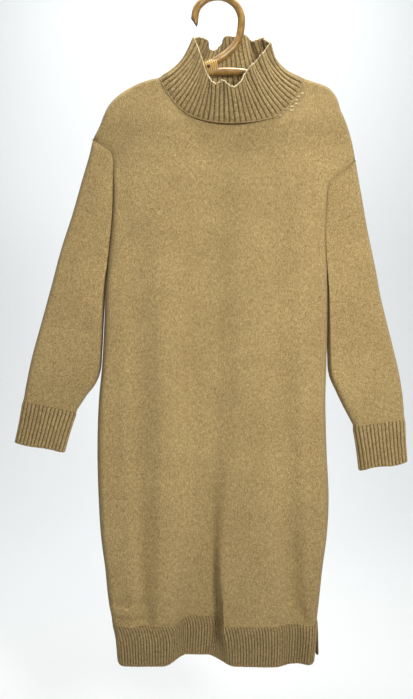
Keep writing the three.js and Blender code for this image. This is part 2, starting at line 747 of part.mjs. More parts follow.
// Sleeve as a closed tube of rings: the first on the armhole seam, the last on the cuff seam
function sleeve(name, shape) {
  const { sign, armhole } = shape;
  const outer = course(shape.outer);
  const inner = course(shape.inner);
  const lastStation = armhole.length - 1;
  const tip = shape.outer[0];
  const underarm = shape.inner[0];
  const cuffStart = cuffFrame(shape, 0);
  const half = (face, station, along) => {
    const { across } = station;
    const out = outer.getPointAt(along);
    const into = inner.getPointAt(along);
    const place = (key) => mix(out[key], into[key], across)
      + (1 - along) * (station[key] - mix(tip[key], underarm[key], across));
    const x = place('x');
    const z = place('z');
    const depth = face * lookUp(SLEEVE_DEPTHS, 'along', along, face === FRONT ? 'front' : 'back');
    const fromOut = quarter(Math.hypot(x - out.x, z - out.z) / SLEEVE_ROUND);
    const innerRound = mix(shape.innerRound, SLEEVE_ROUND, smooth((along - LAST_BEND) / (1 - LAST_BEND)));
    const fromInner = quarter(Math.hypot(x - into.x, z - into.z) / innerRound);
    const seamY = face * (face === FRONT ? station.front : station.back);
    const fromSeam = quarter(Math.hypot(x - station.x, z - station.z) / SLEEVE_ROUND);
    return new THREE.Vector3(x, mix(seamY, depth * fromOut * fromInner, fromSeam), z);
  };
  const numbers = armhole.map((_, k) => k);
  const behind = numbers.slice(1, lastStation).reverse();
  const ringOf = (make) => [
    ...numbers.map((k) => make(FRONT, armhole[k], k)),
    ...behind.map((k) => make(BACK, armhole[k], k)),
  ];
  const points = SLEEVE_RINGS.map((along) => ringOf((face, station) => half(face, station, along)));
  const normals = facings(points, true, -sign);
  normals[0] = ringOf((face, station, k) => stationFacing(face, sideStation(armhole, leftSeam, k)));
  ringOf((face, station, k) => acrossSeam(armhole, k)).forEach((across, i) => {
    points[0][i].x += (across.x * ARMHOLE_GAP) / 2;
    points[0][i].z += (across.z * ARMHOLE_GAP) / 2;
  });
  const last = points.length - 1;
  points[last].forEach((point) => point.addScaledVector(cuffStart.axis, -SEAM_GAP / 2));
  normals[last].forEach((facing) => facing.projectOnPlane(cuffStart.axis).normalize());
  return clothWall(name, knit, points, insideOf(points, normals, KNIT_WALL), { ring: true });
}

// Frame of a cuff's ring at a share of its length: middle, direction across and half sizes
function cuffFrame(shape, share) {
  const start = [shape.outer[shape.outer.length - 1], shape.inner[shape.inner.length - 1]];
  const end = [shape.cuffOuter, shape.cuffInner];
  const edge = [0, 1].map((side) => new THREE.Vector3(
    mix(start[side].x, end[side].x, share), 0, mix(start[side].z, end[side].z, share)));
  const across = edge[1].clone().sub(edge[0]);
  const halfWidth = across.length() / 2;
  across.normalize();
  const axis = new THREE.Vector3(across.z, 0, -across.x);
  if (axis.z > 0) axis.negate();
  const last = SLEEVE_DEPTHS[SLEEVE_DEPTHS.length - 1];
  const halfDepth = mix(last.front, CUFF_END_HALF_DEPTH, share);
  return { middle: edge[0].clone().lerp(edge[1], 0.5), across, axis, halfWidth, halfDepth };
}

// Point round a flat oval with straight faces and round ends, at a share of its length
function ovalPoint(halfWidth, halfDepth, share) {
  const straight = 2 * (halfWidth - halfDepth);
  const round = Math.PI * halfDepth;
  const at = (share % 1) * 2 * (straight + round);
  if (at < straight) return [at - straight / 2, -halfDepth];
  if (at < straight + round) {
    const angle = (at - straight) / halfDepth - Math.PI / 2;
    return [straight / 2 + halfDepth * Math.cos(angle), halfDepth * Math.sin(angle)];
  }
  if (at < 2 * straight + round) return [straight / 2 - (at - straight - round), halfDepth];
  const angle = (at - 2 * straight - round) / halfDepth + Math.PI / 2;
  return [-straight / 2 + halfDepth * Math.cos(angle), halfDepth * Math.sin(angle)];
}

function cuff(name, shape) {
  const points = [];
  for (let j = 0; j <= CUFF_ROWS; j += 1) {
    const frame = cuffFrame(shape, j / CUFF_ROWS);
    const lift = j === 0 ? SEAM_GAP / 2 : 0;
    points.push(Array.from({ length: 2 * CUFF_RIBS }, (_, k) => {
      const share = k / (2 * CUFF_RIBS);
      const [x, y] = ovalPoint(frame.halfWidth, frame.halfDepth, share);
      const wave = j === CUFF_ROWS ? shape.hemWave * Math.sin(2 * Math.PI * CUFF_WAVES * share) : 0;
      const point = frame.middle.clone().addScaledVector(frame.across, x);
      return point.addScaledVector(frame.axis, lift + wave).setY(y);
    }));
  }
  const normals = facings(points, true, -shape.sign);
  const { axis } = cuffFrame(shape, 0);
  normals[0].forEach((facing) => facing.projectOnPlane(axis).normalize());
  return ribbedWall(name, points, normals, { ring: true });
}

// Neckline chain that the panels' upper rims follow
function neckChain(face) {
  return panelColumns
    .filter((u) => u >= NECK_START && u <= 1 - NECK_START)
    .map((u) => {
      const point = upperRim(face, u);
      return point.setY(bodyDepth(face, point.x, point.z, ARMHOLE_LEFT[0].x, ARMHOLE_RIGHT[0].x));
    });
}

function collar(name) {
  const frontBase = neckChain(FRONT);
  const backBase = neckChain(BACK).reverse();
  const frontEdge = course(COLLAR_EDGE_FRONT);
  const backEdge = course(COLLAR_EDGE_BACK);
  const middle = (NECK_FRONT[0].x + NECK_FRONT[NECK_FRONT.length - 1].x) / 2;
  const halfSpan = (NECK_FRONT[NECK_FRONT.length - 1].x - NECK_FRONT[0].x) / 2;
  const columns = [];
  const addColumns = (base, edge, ribs, side) => {
    for (let k = 0; k < 2 * ribs; k += 1) {
      const share = k / (2 * ribs);
      const foot = onChain(base, share);
      const before = onChain(base, Math.max(0, share - LOOK_AHEAD));
      const ahead = onChain(base, Math.min(1, share + LOOK_AHEAD)).sub(before);
      const lift = new THREE.Vector3(-ahead.z * side, 0, ahead.x * side).setLength(COLLAR_GAP);
      foot.add(lift);
      foot.z += SEAM_GAP / 2;
      const head = edge.getPointAt(share);
      const sideways = ((foot.x - middle) / halfSpan) ** 2;
      const flare = foot.x < middle ? COLLAR_FLARE_LEFT : COLLAR_FLARE_RIGHT;
      const bend = foot.clone().lerp(head, 0.5);
      bend.x += flare.x * sideways;
      bend.z += flare.z * sideways;
      bend.y *= 1 + COLLAR_BULGE * sideways;
      columns.push(new THREE.QuadraticBezierCurve3(foot, bend, head));
    }
  };
  addColumns(frontBase, frontEdge, COLLAR_FRONT_RIBS, 1);
  addColumns(backBase, backEdge, COLLAR_BACK_RIBS, -1);
  const points = [];
  for (let j = 0; j <= COLLAR_ROWS; j += 1) {
    points.push(columns.map((column) => column.getPoint(j / COLLAR_ROWS)));
  }
  const normals = facings(points, true, -1);
  normals[0].forEach((facing) => facing.setZ(0).normalize());
  return ribbedWall(name, points, normals, { ring: true, rimShare: [RIM_RIB_SHARE, 1] });
}

// Cane bent along a course, with a round section
function bentCane(name, rows, steps) {
  const section = new THREE.Shape();
  for (let k = 0; k < CANE_SIDES; k += 1) {
    const angle = (2 * Math.PI * k) / CANE_SIDES;
    const corner = [CANE_RADIUS * Math.cos(angle), CANE_RADIUS * Math.sin(angle)];
    if (k === 0) section.moveTo(...corner);
    else section.lineTo(...corner);
  }
  section.closePath();
  const path = course(rows);
  const geometry = new THREE.ExtrudeGeometry(section, { steps, extrudePath: path, bevelEnabled: false });
  const mesh = new THREE.Mesh(geometry, cane);
  mesh.name = name;
  return mesh;
}

// Centre line of a hanger arm, seated under the shoulder's cloth
function underShoulder(rows, seats) {
  const seated = course(rows);
  return rows.slice(0, seats).map((row, k) => {
    const share = k / (rows.length - 1);
    const point = seated.getPoint(share);
    const tangent = seated.getTangent(share);
    const below = new THREE.Vector3(tangent.z, 0, -tangent.x);
    if (below.z > 0) below.negate();
    return point.addScaledVector(below, SHOULDER_ROUND + SEAT_SLACK);
  });
}

function hookArc() {
  const rows = [];
  for (let k = 0; k <= HOOK_ARC_STEPS; k += 1) {
    const angle = THREE.MathUtils.degToRad(mix(HOOK_ARC_START, HOOK_ARC_END, k / HOOK_ARC_STEPS));
    rows.push({ x: HOOK_RADIUS * Math.cos(angle), z: HOOK_CENTRE_Z + HOOK_RADIUS * Math.sin(angle) });
  }
  return rows;
}

function leftCane() {
  const rows = [...HOOK_TIP, ...hookArc(), ...HOOK_NECK, ...underShoulder(SHOULDER_LEFT, LEFT_SEATS)];
  return bentCane('hanger_left_cane', rows, LEFT_CANE_STEPS);
}

function rightCane() {
  const rows = [...RIGHT_ARM_START, ...underShoulder(SHOULDER_RIGHT, RIGHT_SEATS), RIGHT_ARM_END];
  return bentCane('hanger_right_cane', rows, RIGHT_CANE_STEPS);
}

// Wrap of split cane round the foot of the hook
function caneBinding() {
  const inner = CANE_RADIUS + BINDING_SLACK;
  const outer = inner + BINDING_WALL;
  const half = BINDING_LENGTH / 2;
  const profile = [
    new THREE.Vector2(inner, -half),
    new THREE.Vector2(outer - BINDING_ROUND, -half),
    new THREE.Vector2(outer, 0),
    new THREE.Vector2(outer - BINDING_ROUND, half),
    new THREE.Vector2(inner, half),
    new THREE.Vector2(inner, -half),
  ];
  const geometry = new THREE.LatheGeometry(profile, BINDING_SIDES);
  const mesh = new THREE.Mesh(geometry, binding);
  const along = new THREE.Vector3(JUNCTION.along.x, 0, JUNCTION.along.z).normalize();
  mesh.quaternion.setFromUnitVectors(new THREE.Vector3(0, 1, 0), along);
  mesh.position.set(JUNCTION.x, 0, JUNCTION.z);
  mesh.name = 'hanger_binding';
  return mesh;
}

const group = new THREE.Group();
group.add(leftCane());
group.add(rightCane());
group.add(caneBinding());
group.add(bodyPanel('front_body', FRONT, FRONT_LOWER_ROWS));
group.add(bodyPanel('back_body', BACK, BACK_LOWER_ROWS));
group.add(hemBand('front_hem_band', FRONT, HEM_ROWS_FRONT));
group.add(hemBand('back_hem_band', BACK, HEM_ROWS_BACK));
group.add(sleeve('left_sleeve', SLEEVE_LEFT));
group.add(sleeve('right_sleeve', SLEEVE_RIGHT));
group.add(cuff('left_cuff', SLEEVE_LEFT));
group.add(cuff('right_cuff', SLEEVE_RIGHT));
group.add(collar('collar'));

export default group;
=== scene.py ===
import math

import bmesh
import bpy
import numpy as np
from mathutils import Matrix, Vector


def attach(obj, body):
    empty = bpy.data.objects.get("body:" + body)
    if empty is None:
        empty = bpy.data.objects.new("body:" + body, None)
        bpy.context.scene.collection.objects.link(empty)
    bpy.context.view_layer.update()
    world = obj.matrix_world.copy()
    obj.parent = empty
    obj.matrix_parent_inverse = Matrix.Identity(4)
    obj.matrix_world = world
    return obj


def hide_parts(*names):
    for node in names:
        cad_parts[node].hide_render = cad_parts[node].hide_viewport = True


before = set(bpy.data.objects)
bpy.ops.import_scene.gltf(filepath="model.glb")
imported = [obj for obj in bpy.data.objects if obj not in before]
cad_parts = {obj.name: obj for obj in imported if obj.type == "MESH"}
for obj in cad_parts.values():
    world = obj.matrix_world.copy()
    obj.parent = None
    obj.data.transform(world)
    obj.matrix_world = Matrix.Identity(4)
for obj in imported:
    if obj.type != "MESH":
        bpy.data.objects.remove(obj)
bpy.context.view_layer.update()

# A roll-neck sweater dress in fine knit, hung flat on a hanger of bent cane.
# Tables are in millimetres in the dress's own frame, and meshes are made in metres.
# The front faces -Y, and left and right are as seen from the front.
MM = 0.001
FRONT = -1
BACK = 1

# Cloth walls
KNIT_WALL = 2.6
RIB_WALL = 1.8
RIB_HEIGHT = 2.1
SEAM_GAP = 0.3
ARMHOLE_GAP = 0.4
COLLAR_GAP = 0.45

# Levels of the main seams
HEM_SEAM_Z = -1080.0
HEM_Z = -1146.0

# Rounding where the cloth turns from front to back
SIDE_ROUND = 14.0
SLEEVE_ROUND = 12.0
SHOULDER_ROUND = 9.7
FLAT_DEPTH = 10.5
DRAWN_UP = 7.0
DRAWN_UP_START = -880.0
NECK_START = 0.22
RIM_FADE = 1.3

# Hanger
CANE_RADIUS = 6.5
SEAT_SLACK = 0.4

# Shoulder line from the neck to the tip: x, z
SHOULDER_LEFT = [
    (-102, -136.5), (-118, -139.5), (-136, -145.5), (-153, -154), (-171, -165.5),
    (-188, -182), (-197, -198), (-206, -221), (-218, -244),
]
SHOULDER_RIGHT = [
    (150, -137.5), (162, -141.5), (179, -147), (192, -152.5), (203, -163),
    (210, -176), (215, -193), (224, -214), (233, -242), (241, -281),
]

# Neckline from the left shoulder to the right: x, z
NECK = {
    FRONT: [
        (-102, -136.5), (-92, -158), (-77, -181), (-50, -208), (-13, -220.5), (27, -223.5),
        (63, -220.5), (96, -212), (119, -195), (137, -172), (150, -137.5),
    ],
    BACK: [
        (-102, -136.5), (-70, -142), (-20, -146), (24, -147), (70, -146),
        (120, -142.5), (150, -137.5),
    ],
}

# Armhole seam from the shoulder tip to the underarm: across, x, z, front, back, tilt
ARMHOLE_LEFT = [
    (0.00, -218.0, -244.0, 0.0, 0.0, 90), (0.03, -208.0, -251.0, 7.0, 7.0, 35),
    (0.08, -197.0, -259.5, 10.5, 10.0, 8), (0.15, -186.5, -267.5, 10.5, 10.0, 0),
    (0.24, -181.5, -281.0, 10.0, 9.5, 0), (0.35, -181.0, -307.0, 9.5, 9.5, 0),
    (0.47, -181.0, -341.0, 8.0, 9.0, 0), (0.60, -182.5, -380.0, 6.5, 8.5, 0),
    (0.72, -185.5, -414.0, 6.0, 8.5, 0), (0.84, -188.5, -441.0, 6.0, 8.0, 10),
    (0.93, -190.5, -459.0, 5.0, 6.0, 40), (1.00, -191.5, -468.0, 0.0, 0.0, 90),
]
ARMHOLE_RIGHT = [
    (0.00, 241.0, -281.0, 0.0, 0.0, 90), (0.03, 233.0, -288.5, 7.0, 7.0, 35),
    (0.08, 222.5, -298.0, 10.5, 10.0, 8), (0.15, 210.0, -307.5, 11.0, 10.5, 0),
    (0.24, 197.5, -317.5, 11.0, 10.0, 0), (0.35, 191.0, -333.0, 10.5, 10.0, 0),
    (0.47, 189.0, -360.0, 10.5, 10.0, 0), (0.60, 187.0, -394.0, 10.5, 10.0, 0),
    (0.72, 187.0, -426.0, 10.0, 9.5, 0), (0.84, 188.5, -454.0, 9.0, 9.0, 10),
    (0.93, 190.0, -472.0, 5.0, 6.0, 40), (1.00, 191.0, -482.0, 0.0, 0.0, 90),
]
LAST_STATION = len(ARMHOLE_LEFT) - 1
# Sides that the neck's depth is measured between
NECK_SIDES = (ARMHOLE_LEFT[0][1], ARMHOLE_RIGHT[0][1])

# Side seams from the underarm to the hem band: x, z
SIDE_LEFT = [
    (-191.5, -468), (-195.5, -510), (-198, -575), (-201.5, -640), (-207, -700), (-209.5, -780),
    (-207.5, -865), (-203, -935), (-195.5, -992), (-190, -1045), (-183, HEM_SEAM_Z),
]
SIDE_RIGHT = [
    (191, -482), (191.5, -530), (191, -590), (189.5, -645), (188, -700), (190, -785),
    (193.5, -870), (190.5, -930), (182.5, -990), (177, -1040), (172.5, HEM_SEAM_Z),
]

# Free edges of the hem bands: z, then x of each edge, then how far the slit stands open
HEM_EDGES = [
    (HEM_SEAM_Z, -182.5, 172.0, -182.5, 173.0, 0.0),
    (-1110.0, -175.5, 170.0, -176.0, 175.0, 3.0),
    (HEM_Z, -172.0, 166.0, -172.5, 176.0, 4.0),
]

# Depth of the body's cloth: z, front, back, taper to the sides
BODY_DEPTHS = [
    (-130, 10.5, 10.5, 0.95), (-160, 13, 12, 0.95), (-190, 19, 13.5, 0.95), (-225, 27, 15, 0.95),
    (-280, 28, 16, 0.8), (-340, 28, 16, 0.4), (-450, 30, 16.5, 0.3), (-620, 33, 17, 0.3),
    (-800, 35, 19, 0.3), (-950, 37, 20.5, 0.25), (HEM_SEAM_Z, 39, 23, 0.2), (HEM_Z, 40, 24, 0.2),
]

# Hanging folds: z, centre x, half width of the floor, width of the left and right flank, depth
FOLDS = {
    FRONT: [
        [
            (-270, -24, 18, 50, 50, 0), (-520, -24, 18, 50, 50, 6), (-700, -24, 18, 50, 48, 12),
            (-900, -26, 16, 60, 20, 17), (-1000, -26, 20, 50, 12, 24),
            (HEM_SEAM_Z, -26, 25, 32, 12, 31), (HEM_Z, -36, 17, 40, 50, 33),
        ],
        [
            (-280, -138, 4, 30, 30, 0), (-520, -136, 4, 30, 34, 4), (-780, -133, 3, 26, 36, 7),
            (-980, -131, 1, 16, 34, 10), (-1060, -130, 1, 13, 30, 10), (-1110, -128, 4, 22, 30, 0),
        ],
        [
            (-320, 111, 4, 34, 28, 0), (-520, 111, 4, 34, 28, 4), (-700, 113, 4, 36, 28, 7),
            (-880, 118, 4, 38, 26, 10), (-1010, 126, 3, 34, 22, 13), (HEM_Z, 130, 4, 30, 24, 10),
        ],
    ],
    BACK: [
        [(-420, -96, 6, 34, 34, 0), (-760, -104, 6, 34, 34, 3), (-1000, -109, 6, 34, 34, 6),
         (HEM_Z, -112, 6, 34, 34, 7)],
        [(-360, 84, 6, 38, 38, 0), (-700, 87, 6, 38, 38, 3), (-960, 90, 6, 38, 38, 6),
         (HEM_Z, 92, 6, 38, 38, 8)],
    ],
}

# Sleeve outlines from the armhole to the cuff seam, and the cuff's end
SLEEVES = {
    "left": {
        "sign": -1,
        "armhole": ARMHOLE_LEFT,
        "outer": [
            (-218, -244), (-223.5, -270), (-236, -313), (-253.5, -375), (-273, -436),
            (-290, -500), (-307.5, -564), (-324.5, -626), (-333.5, -668), (-339, -699),
        ],
        "inner": [
            (-191.5, -468), (-195.6, -492), (-199, -555), (-201.4, -610), (-205, -650),
            (-214, -672), (-228, -690), (-240, -708), (-247, -718.5),
        ],
        "inner_round": 12.0,
        "cuff_end": [(-353, -772), (-268.5, -788)],
        "hem_wave": 0.8,
    },
    "right": {
        "sign": 1,
        "armhole": ARMHOLE_RIGHT,
        "outer": [
            (241, -281), (246, -311), (253.5, -354), (260.5, -396), (269, -438), (277.5, -480),
            (285, -521), (295.5, -564), (306, -606), (316, -648), (323, -690), (326.5, -731),
        ],
        "inner": [
            (191, -482), (192.8, -506), (193, -560), (192.6, -620), (195, -655),
            (207.5, -685), (219, -709), (229.5, -729), (237.5, -744),
        ],
        "inner_round": 7.0,
        "cuff_end": [(330.5, -806), (248.5, -819)],
        "hem_wave": 1.4,
    },
}
# Depth of a sleeve's cloth: along, front, back
SLEEVE_DEPTHS = [(0, 13, 12), (0.2, 15, 14), (0.5, 16.5, 15), (0.8, 15.5, 14.5), (1, 11, 11)]
# Share along a sleeve from which its inner edge takes the common rounding
LAST_BEND = 0.6
CUFF_START_HALF_DEPTH = 11.0
CUFF_END_HALF_DEPTH = 9.5

# Upper edge of the collar from the left peak over the front, and back round behind: x, y, z
COLLAR_EDGE_FRONT = [
    (-41, 0, -66), (-32, -14, -96), (-23.5, -24, -125), (-16, -31, -147), (-3, -40, -163),
    (7, -44, -159), (26, -46, -171), (36, -42, -163), (43, -36, -149), (56, -28, -129),
    (72, -19, -109), (86, -8, -87), (89.5, 2, -71),
]
COLLAR_EDGE_BACK = [
    (89.5, 2, -71), (79, 12, -60.5), (64, 22, -64), (53, 25, -52), (26, 24, -53.5),
    (12, 25, -56), (1, 30, -75), (-11, 28, -74), (-22, 18, -61), (-34, 7, -61.5), (-41, 0, -66),
]
# Shift of a rib's bend at each side of the collar: x, z
COLLAR_FLARE = {"left": (12.0, -15.0), "right": (-18.0, -21.0)}
COLLAR_BULGE = 0.8
COLLAR_RIBS = {FRONT: 37, BACK: 27}

HEM_RIBS = 88
CUFF_RIBS = 31

# Hanger's canes between the hook and the shoulders: x, z
HOOK_CENTRE_Z = -35.0
HOOK_RADIUS = 42.0
HOOK_TIP = [(-40.5, -38), (-38.5, -22)]
HOOK_NECK = [
    (41.5, -43), (38.5, -62), (31, -77.5), (19.5, -90), (4.5, -101), (-11.5, -110.5),
    (-26, -119.5), (-48, -130.5), (-76, -143),
]
RIGHT_ARM_START = [(-15, -126), (0, -124.5), (20, -124), (45, -126), (82, -134), (118, -143)]
RIGHT_ARM_END = (187, -163.5)

# Winding round both canes where they meet
WINDING_MIDDLE = (-10.0, -117.5)
WINDING_DIRECTION = (0.96, 0.28)
WINDING_TURNS = 6
WINDING_PITCH = 3.2
WINDING_HALF_HEIGHT = 12.6
WINDING_HALF_DEPTH = 7.4
NAIL_PLACE = (-15.5, -118.5)
NAIL_RADIUS = 1.5
STRIP_RADIUS = 0.62 * WINDING_PITCH
# Run over which the slanting cut of the hook's tip dies out, and the cane's girth in its grain
SLANT_RUN = 4.0
CANE_ROUND_MM = 40

# Fineness of the meshes
SHOULDER_STEPS = 36
NECK_STEPS = 84
TIP_STEPS = 10
STATION_STEPS = 4
LOWER_STEPS = 110
SLEEVE_RINGS = 120
CUFF_ROWS = 34
COLLAR_ROWS = 40
HEM_ROWS = 30
COLUMNS_PER_RIB = 8
RIB_MM = 6.0
SIDE_RIM_STEPS = 2
SLEEVE_TIP_STEPS = 6
SLEEVE_STEPS = 40
UNDERARM_STEPS = 6
SLEEVE_FIRST_RINGS = (0, 0.003, 0.007)
SLEEVE_RINGS_FROM = 0.012

# Ribs: share of the rows over which they rise, their share inside and how far the wall is set out
RIB_START = 0.12
RIB_INSIDE = 0.5
RIB_SET_OUT = 0.5

# Unevenness of the free edges
HEM_WAVER = 0.7
HEM_WAVER_RUN = 19.0
CUFF_PINCH = 0.02
CUFF_WAVES = 3
RUFFLE_START = 0.45
RUFFLE_DEPTH = 2.4
RUFFLE_FLANK = 1.2
RUFFLE_RIBS = 4.3
SCALLOP_START = 0.85
SCALLOP_HEIGHT = 1.6
# Rows at the top of the collar that take the pale painted-highlight material
CAST_OFF_HIGHLIGHT_ROWS = 3
NECK_SEAM_OUT = 1.05

# Width of a stitch and height of a row of the knit
WALE_MM = 2.0
COURSE_MM = 1.6

# Tones
KNIT_LIGHT, KNIT_DARK = (0.64, 0.47, 0.215), (0.24, 0.165, 0.062)
# The rib tones are the knit's tones darkened: painted shade on the collar, cuffs and hem bands
RIB_LIGHT_SHADED, RIB_DARK_SHADED = (0.60, 0.44, 0.21), (0.20, 0.14, 0.055)
# Multipliers of the rib colour across each rib: painted shade in the valleys and painted highlight on
# the crests
RIB_VALLEY_SHADE, RIB_CREST_HIGHLIGHT = (0.34, 0.29, 0.21), (1.04, 1.04, 1.0)
# Pale tones for the collar's cast-off edge and the fashioning marks: painted highlight where light
# catches them
EDGE_HIGHLIGHT_LIGHT, EDGE_HIGHLIGHT_DARK = (0.95, 0.83, 0.55), (0.78, 0.64, 0.38)
CANE_TONES = ((0.52, 0.33, 0.095), (0.34, 0.19, 0.042), (0.13, 0.06, 0.012))
STRIP_TONES = ((0.74, 0.52, 0.20), (0.50, 0.31, 0.09), (0.24, 0.12, 0.03))
# Near-black of the canes' cut ends, also used as the painted shade of the nail hole
END_AND_HOLE_SHADE_TONE = (0.07, 0.035, 0.015)
GRAIN_SPREAD = 0.25

# Stage in metres
FLOOR_Z = -1.42
COVE_REACH = 7.0
COVE_BEND = 1.6
COVE_RADIUS = 1.5
COVE_TOP = 5.0
COVE_COLOUR = (0.84, 0.85, 0.85, 1)
WORLD_COLOUR = (0.93, 0.96, 0.98, 1)
WORLD_STRENGTH = 0.22

# Lamps: kind, place, target, size, power and colour
SPOT_DEGREES = 58
LAMPS = [
    ("key", "SPOT", (0.75, -1.5, -0.2), (0.05, 0, -0.58), 0.2, 112, (1.0, 0.985, 0.95)),
    ("top", "AREA", (0.1, -0.12, 0.7), (0.02, 0, -0.3), 0.4, 13, (1.0, 0.98, 0.93)),
    ("fill", "AREA", (-0.5, -2.1, -0.1), (0, 0, -0.5), 1.2, 6, (0.98, 0.99, 1.0)),
    ("backdrop", "AREA", (0.0, 1.0, 1.8), (0, 3.1, -0.6), 3.0, 82, (0.97, 0.99, 1.0)),
]

# Camera in metres
CAMERA_DISTANCE = 1.150
VIEW_CENTRE = (-0.01925, -0.61075)
VIEW_HEIGHT = 1.22325
SENSOR_MM = 36


def quarter(t):
    """Height of a quarter circle over its run, 0 at the edge and 1 from there on."""
    rest = 1 - np.clip(t, 0, 1)
    return np.sqrt(1 - rest * rest)


def smooth(t):
    t = np.clip(t, 0, 1)
    return t * t * (3 - 2 * t)


def mix(a, b, t):
    return a + (b - a) * t


def running(chain):
    """Length along a chain of points up to each of them."""
    return np.concatenate([[0], np.cumsum(np.linalg.norm(np.diff(chain, axis=0), axis=1))])


def round_trip(front, back):
    """Closed course over the front and round behind, with the shared ends once."""
    return np.concatenate([front, back[-2:0:-1]])


def lifted(flat, y):
    """Points of a flat course in x and z, at the depths y."""
    return np.stack([flat[..., 0], y, flat[..., 1]], -1)


def table(rows, column, at):
    """Smooth value of a table's column at a place along its first column."""
    rows = sorted(rows)
    keys = np.array([row[0] for row in rows], float)
    values = np.array([row[column] for row in rows], float)
    at = np.clip(np.asarray(at, float), keys[0], keys[-1])
    slopes = np.diff(values) / np.diff(keys)
    tangents = np.zeros(len(keys))
    same = slopes[:-1] * slopes[1:] > 0
    harmonic = 2 * slopes[:-1] * slopes[1:] / np.where(same, slopes[:-1] + slopes[1:], 1)
    tangents[1:-1] = np.where(same, harmonic, 0)
    tangents[0] = slopes[0]
    tangents[-1] = slopes[-1]
    place = np.clip(np.searchsorted(keys, at, side="right") - 1, 0, len(slopes) - 1)
    run = keys[place + 1] - keys[place]
    t = (at - keys[place]) / run
    rise = values[place + 1] - values[place]
    hermite = t * t * (3 - 2 * t)
    start = t * (1 - t) ** 2 * run * tangents[place]
    end = t * t * (t - 1) * run * tangents[place + 1]
    return values[place] + rise * hermite + start + end


class Course:
    """Smooth course through a table's points, read at a share of its length or by point number."""

    def __init__(self, points, steps=48):
        points = np.array(points, float)
        first = 2 * points[0] - points[1]
        last = 2 * points[-1] - points[-2]
        padded = np.vstack([first, points, last])
        t = np.linspace(0, 1, steps, endpoint=False)[:, None]
        pieces = []
        for k in range(1, len(points)):
            before, start, end, after = padded[k - 1], padded[k], padded[k + 1], padded[k + 2]
            d0, d1, d2 = (np.sqrt(np.linalg.norm(b - a)) or 1
                          for a, b in ((before, start), (start, end), (end, after)))
            t1 = ((start - before) / d0 - (end - before) / (d0 + d1) + (end - start) / d1) * d1
            t2 = ((end - start) / d1 - (after - start) / (d1 + d2) + (after - end) / d2) * d1
            pieces.append(start + t1 * t + (3 * (end - start) - 2 * t1 - t2) * t**2
                          + (2 * (start - end) + t1 + t2) * t**3)
        self.points = np.vstack([*pieces, points[-1:]])
        self.steps = steps
        self.lengths = running(self.points)

    def at(self, share):
        target = np.asarray(share) * self.lengths[-1]
        return np.stack([np.interp(target, self.lengths, axis) for axis in self.points.T], -1)

    def at_number(self, number):
        place = np.asarray(number) * self.steps
        index = np.arange(len(self.points))
        return np.stack([np.interp(place, index, axis) for axis in self.points.T], -1)


def segment_place(start, end, x, z):
    """Share along a segment of the point nearest to each place, and how far away it is."""
    step = end - start
    along = ((x - start[0]) * step[0] + (z - start[1]) * step[1]) / (step @ step)
    share = np.clip(along, 0, 1)
    return share, np.hypot(x - start[0] - share * step[0], z - start[1] - share * step[1])


def distance_to_chain(chain, x, z):
    nearest = np.full(np.shape(x), np.inf)
    for start, end in zip(chain[:-1], chain[1:]):
        nearest = np.minimum(nearest, segment_place(start, end, x, z)[1])
    return nearest


LEFT_SHOULDER = Course(SHOULDER_LEFT)
RIGHT_SHOULDER = Course(SHOULDER_RIGHT)
NECKLINES = {face: Course(rows) for face, rows in NECK.items()}
CHAIN_SHARES = np.linspace(0, 1, 41)
SHOULDER_CHAINS = [LEFT_SHOULDER.at(CHAIN_SHARES), RIGHT_SHOULDER.at(CHAIN_SHARES)]
ARMHOLES = {-1: Course(ARMHOLE_LEFT), 1: Course(ARMHOLE_RIGHT)}
SEAMS = {-1: Course(SIDE_LEFT), 1: Course(SIDE_RIGHT)}


def fold_share(rows, x, z):
    """How much of a hanging fold's depth each place takes, and that depth."""
    centre, floor, left, right, depth = (table(rows, column, z) for column in range(1, 6))
    off = x - centre
    flank = np.where(off < 0, left, right)
    return 1 - smooth((np.abs(off) - floor) / flank), depth


def fold_depth(face, x, z):
    total = np.zeros(np.shape(x))
    for rows in FOLDS[face]:
        share, depth = fold_share(rows, x, z)
        total = total + share * depth
    return total


def drawn_up(face, x, z):
    """How far the cloth of the deep front fold is drawn up towards the hem."""
    if face == BACK:
        return np.zeros(np.shape(x))
    share, _ = fold_share(FOLDS[FRONT][0], x, z)
    return DRAWN_UP * share * smooth((DRAWN_UP_START - z) / (DRAWN_UP_START - HEM_SEAM_Z))


def body_depth(face, x, z, left, right):
    """Y of the body's cloth at a place in the front view, away from its side edges."""
    out = np.clip(np.abs(x - (left + right) / 2) / ((right - left) / 2), 0, 1)
    taper = 1 - table(BODY_DEPTHS, 3, z) * out**3
    full = table(BODY_DEPTHS, 1 if face == FRONT else 2, z)
    plain = FLAT_DEPTH + (full - FLAT_DEPTH) * taper - fold_depth(face, x, z)
    from_shoulder = np.minimum(*(distance_to_chain(chain, x, z) for chain in SHOULDER_CHAINS))
    return face * plain * quarter(from_shoulder / SHOULDER_ROUND)


def stations(side, rows):
    """Edge stations of one side for running rows: x, z, front, back, tilt and outward directions."""
    upper = ARMHOLES[side].at_number(np.minimum(rows, LAST_STATION))
    lower = SEAMS[side].at(np.clip(rows - LAST_STATION, 0, 1))
    below = rows > LAST_STATION
    edge = {
        "x": np.where(below, lower[:, 0], upper[:, 1]),
        "z": np.where(below, lower[:, 1], upper[:, 2]),
        "front": np.where(below, 0, np.maximum(upper[:, 3], 0)),
        "back": np.where(below, 0, np.maximum(upper[:, 4], 0)),
        "tilt": np.radians(np.where(below, 90, np.clip(upper[:, 5], 0, 90))),
    }
    high = rows < LAST_STATION / 2
    edge["out_x"] = np.where(below, side, np.where(high, side * 0.8, 0))
    edge["out_z"] = np.where(below, 0, np.where(high, 0.6, -1))
    return edge


def station_normals(face, edge):
    lean = np.sin(edge["tilt"])
    normals = np.stack([edge["out_x"] * lean, face * np.cos(edge["tilt"]), edge["out_z"] * lean], -1)
    return normals / np.linalg.norm(normals, axis=-1, keepdims=True)


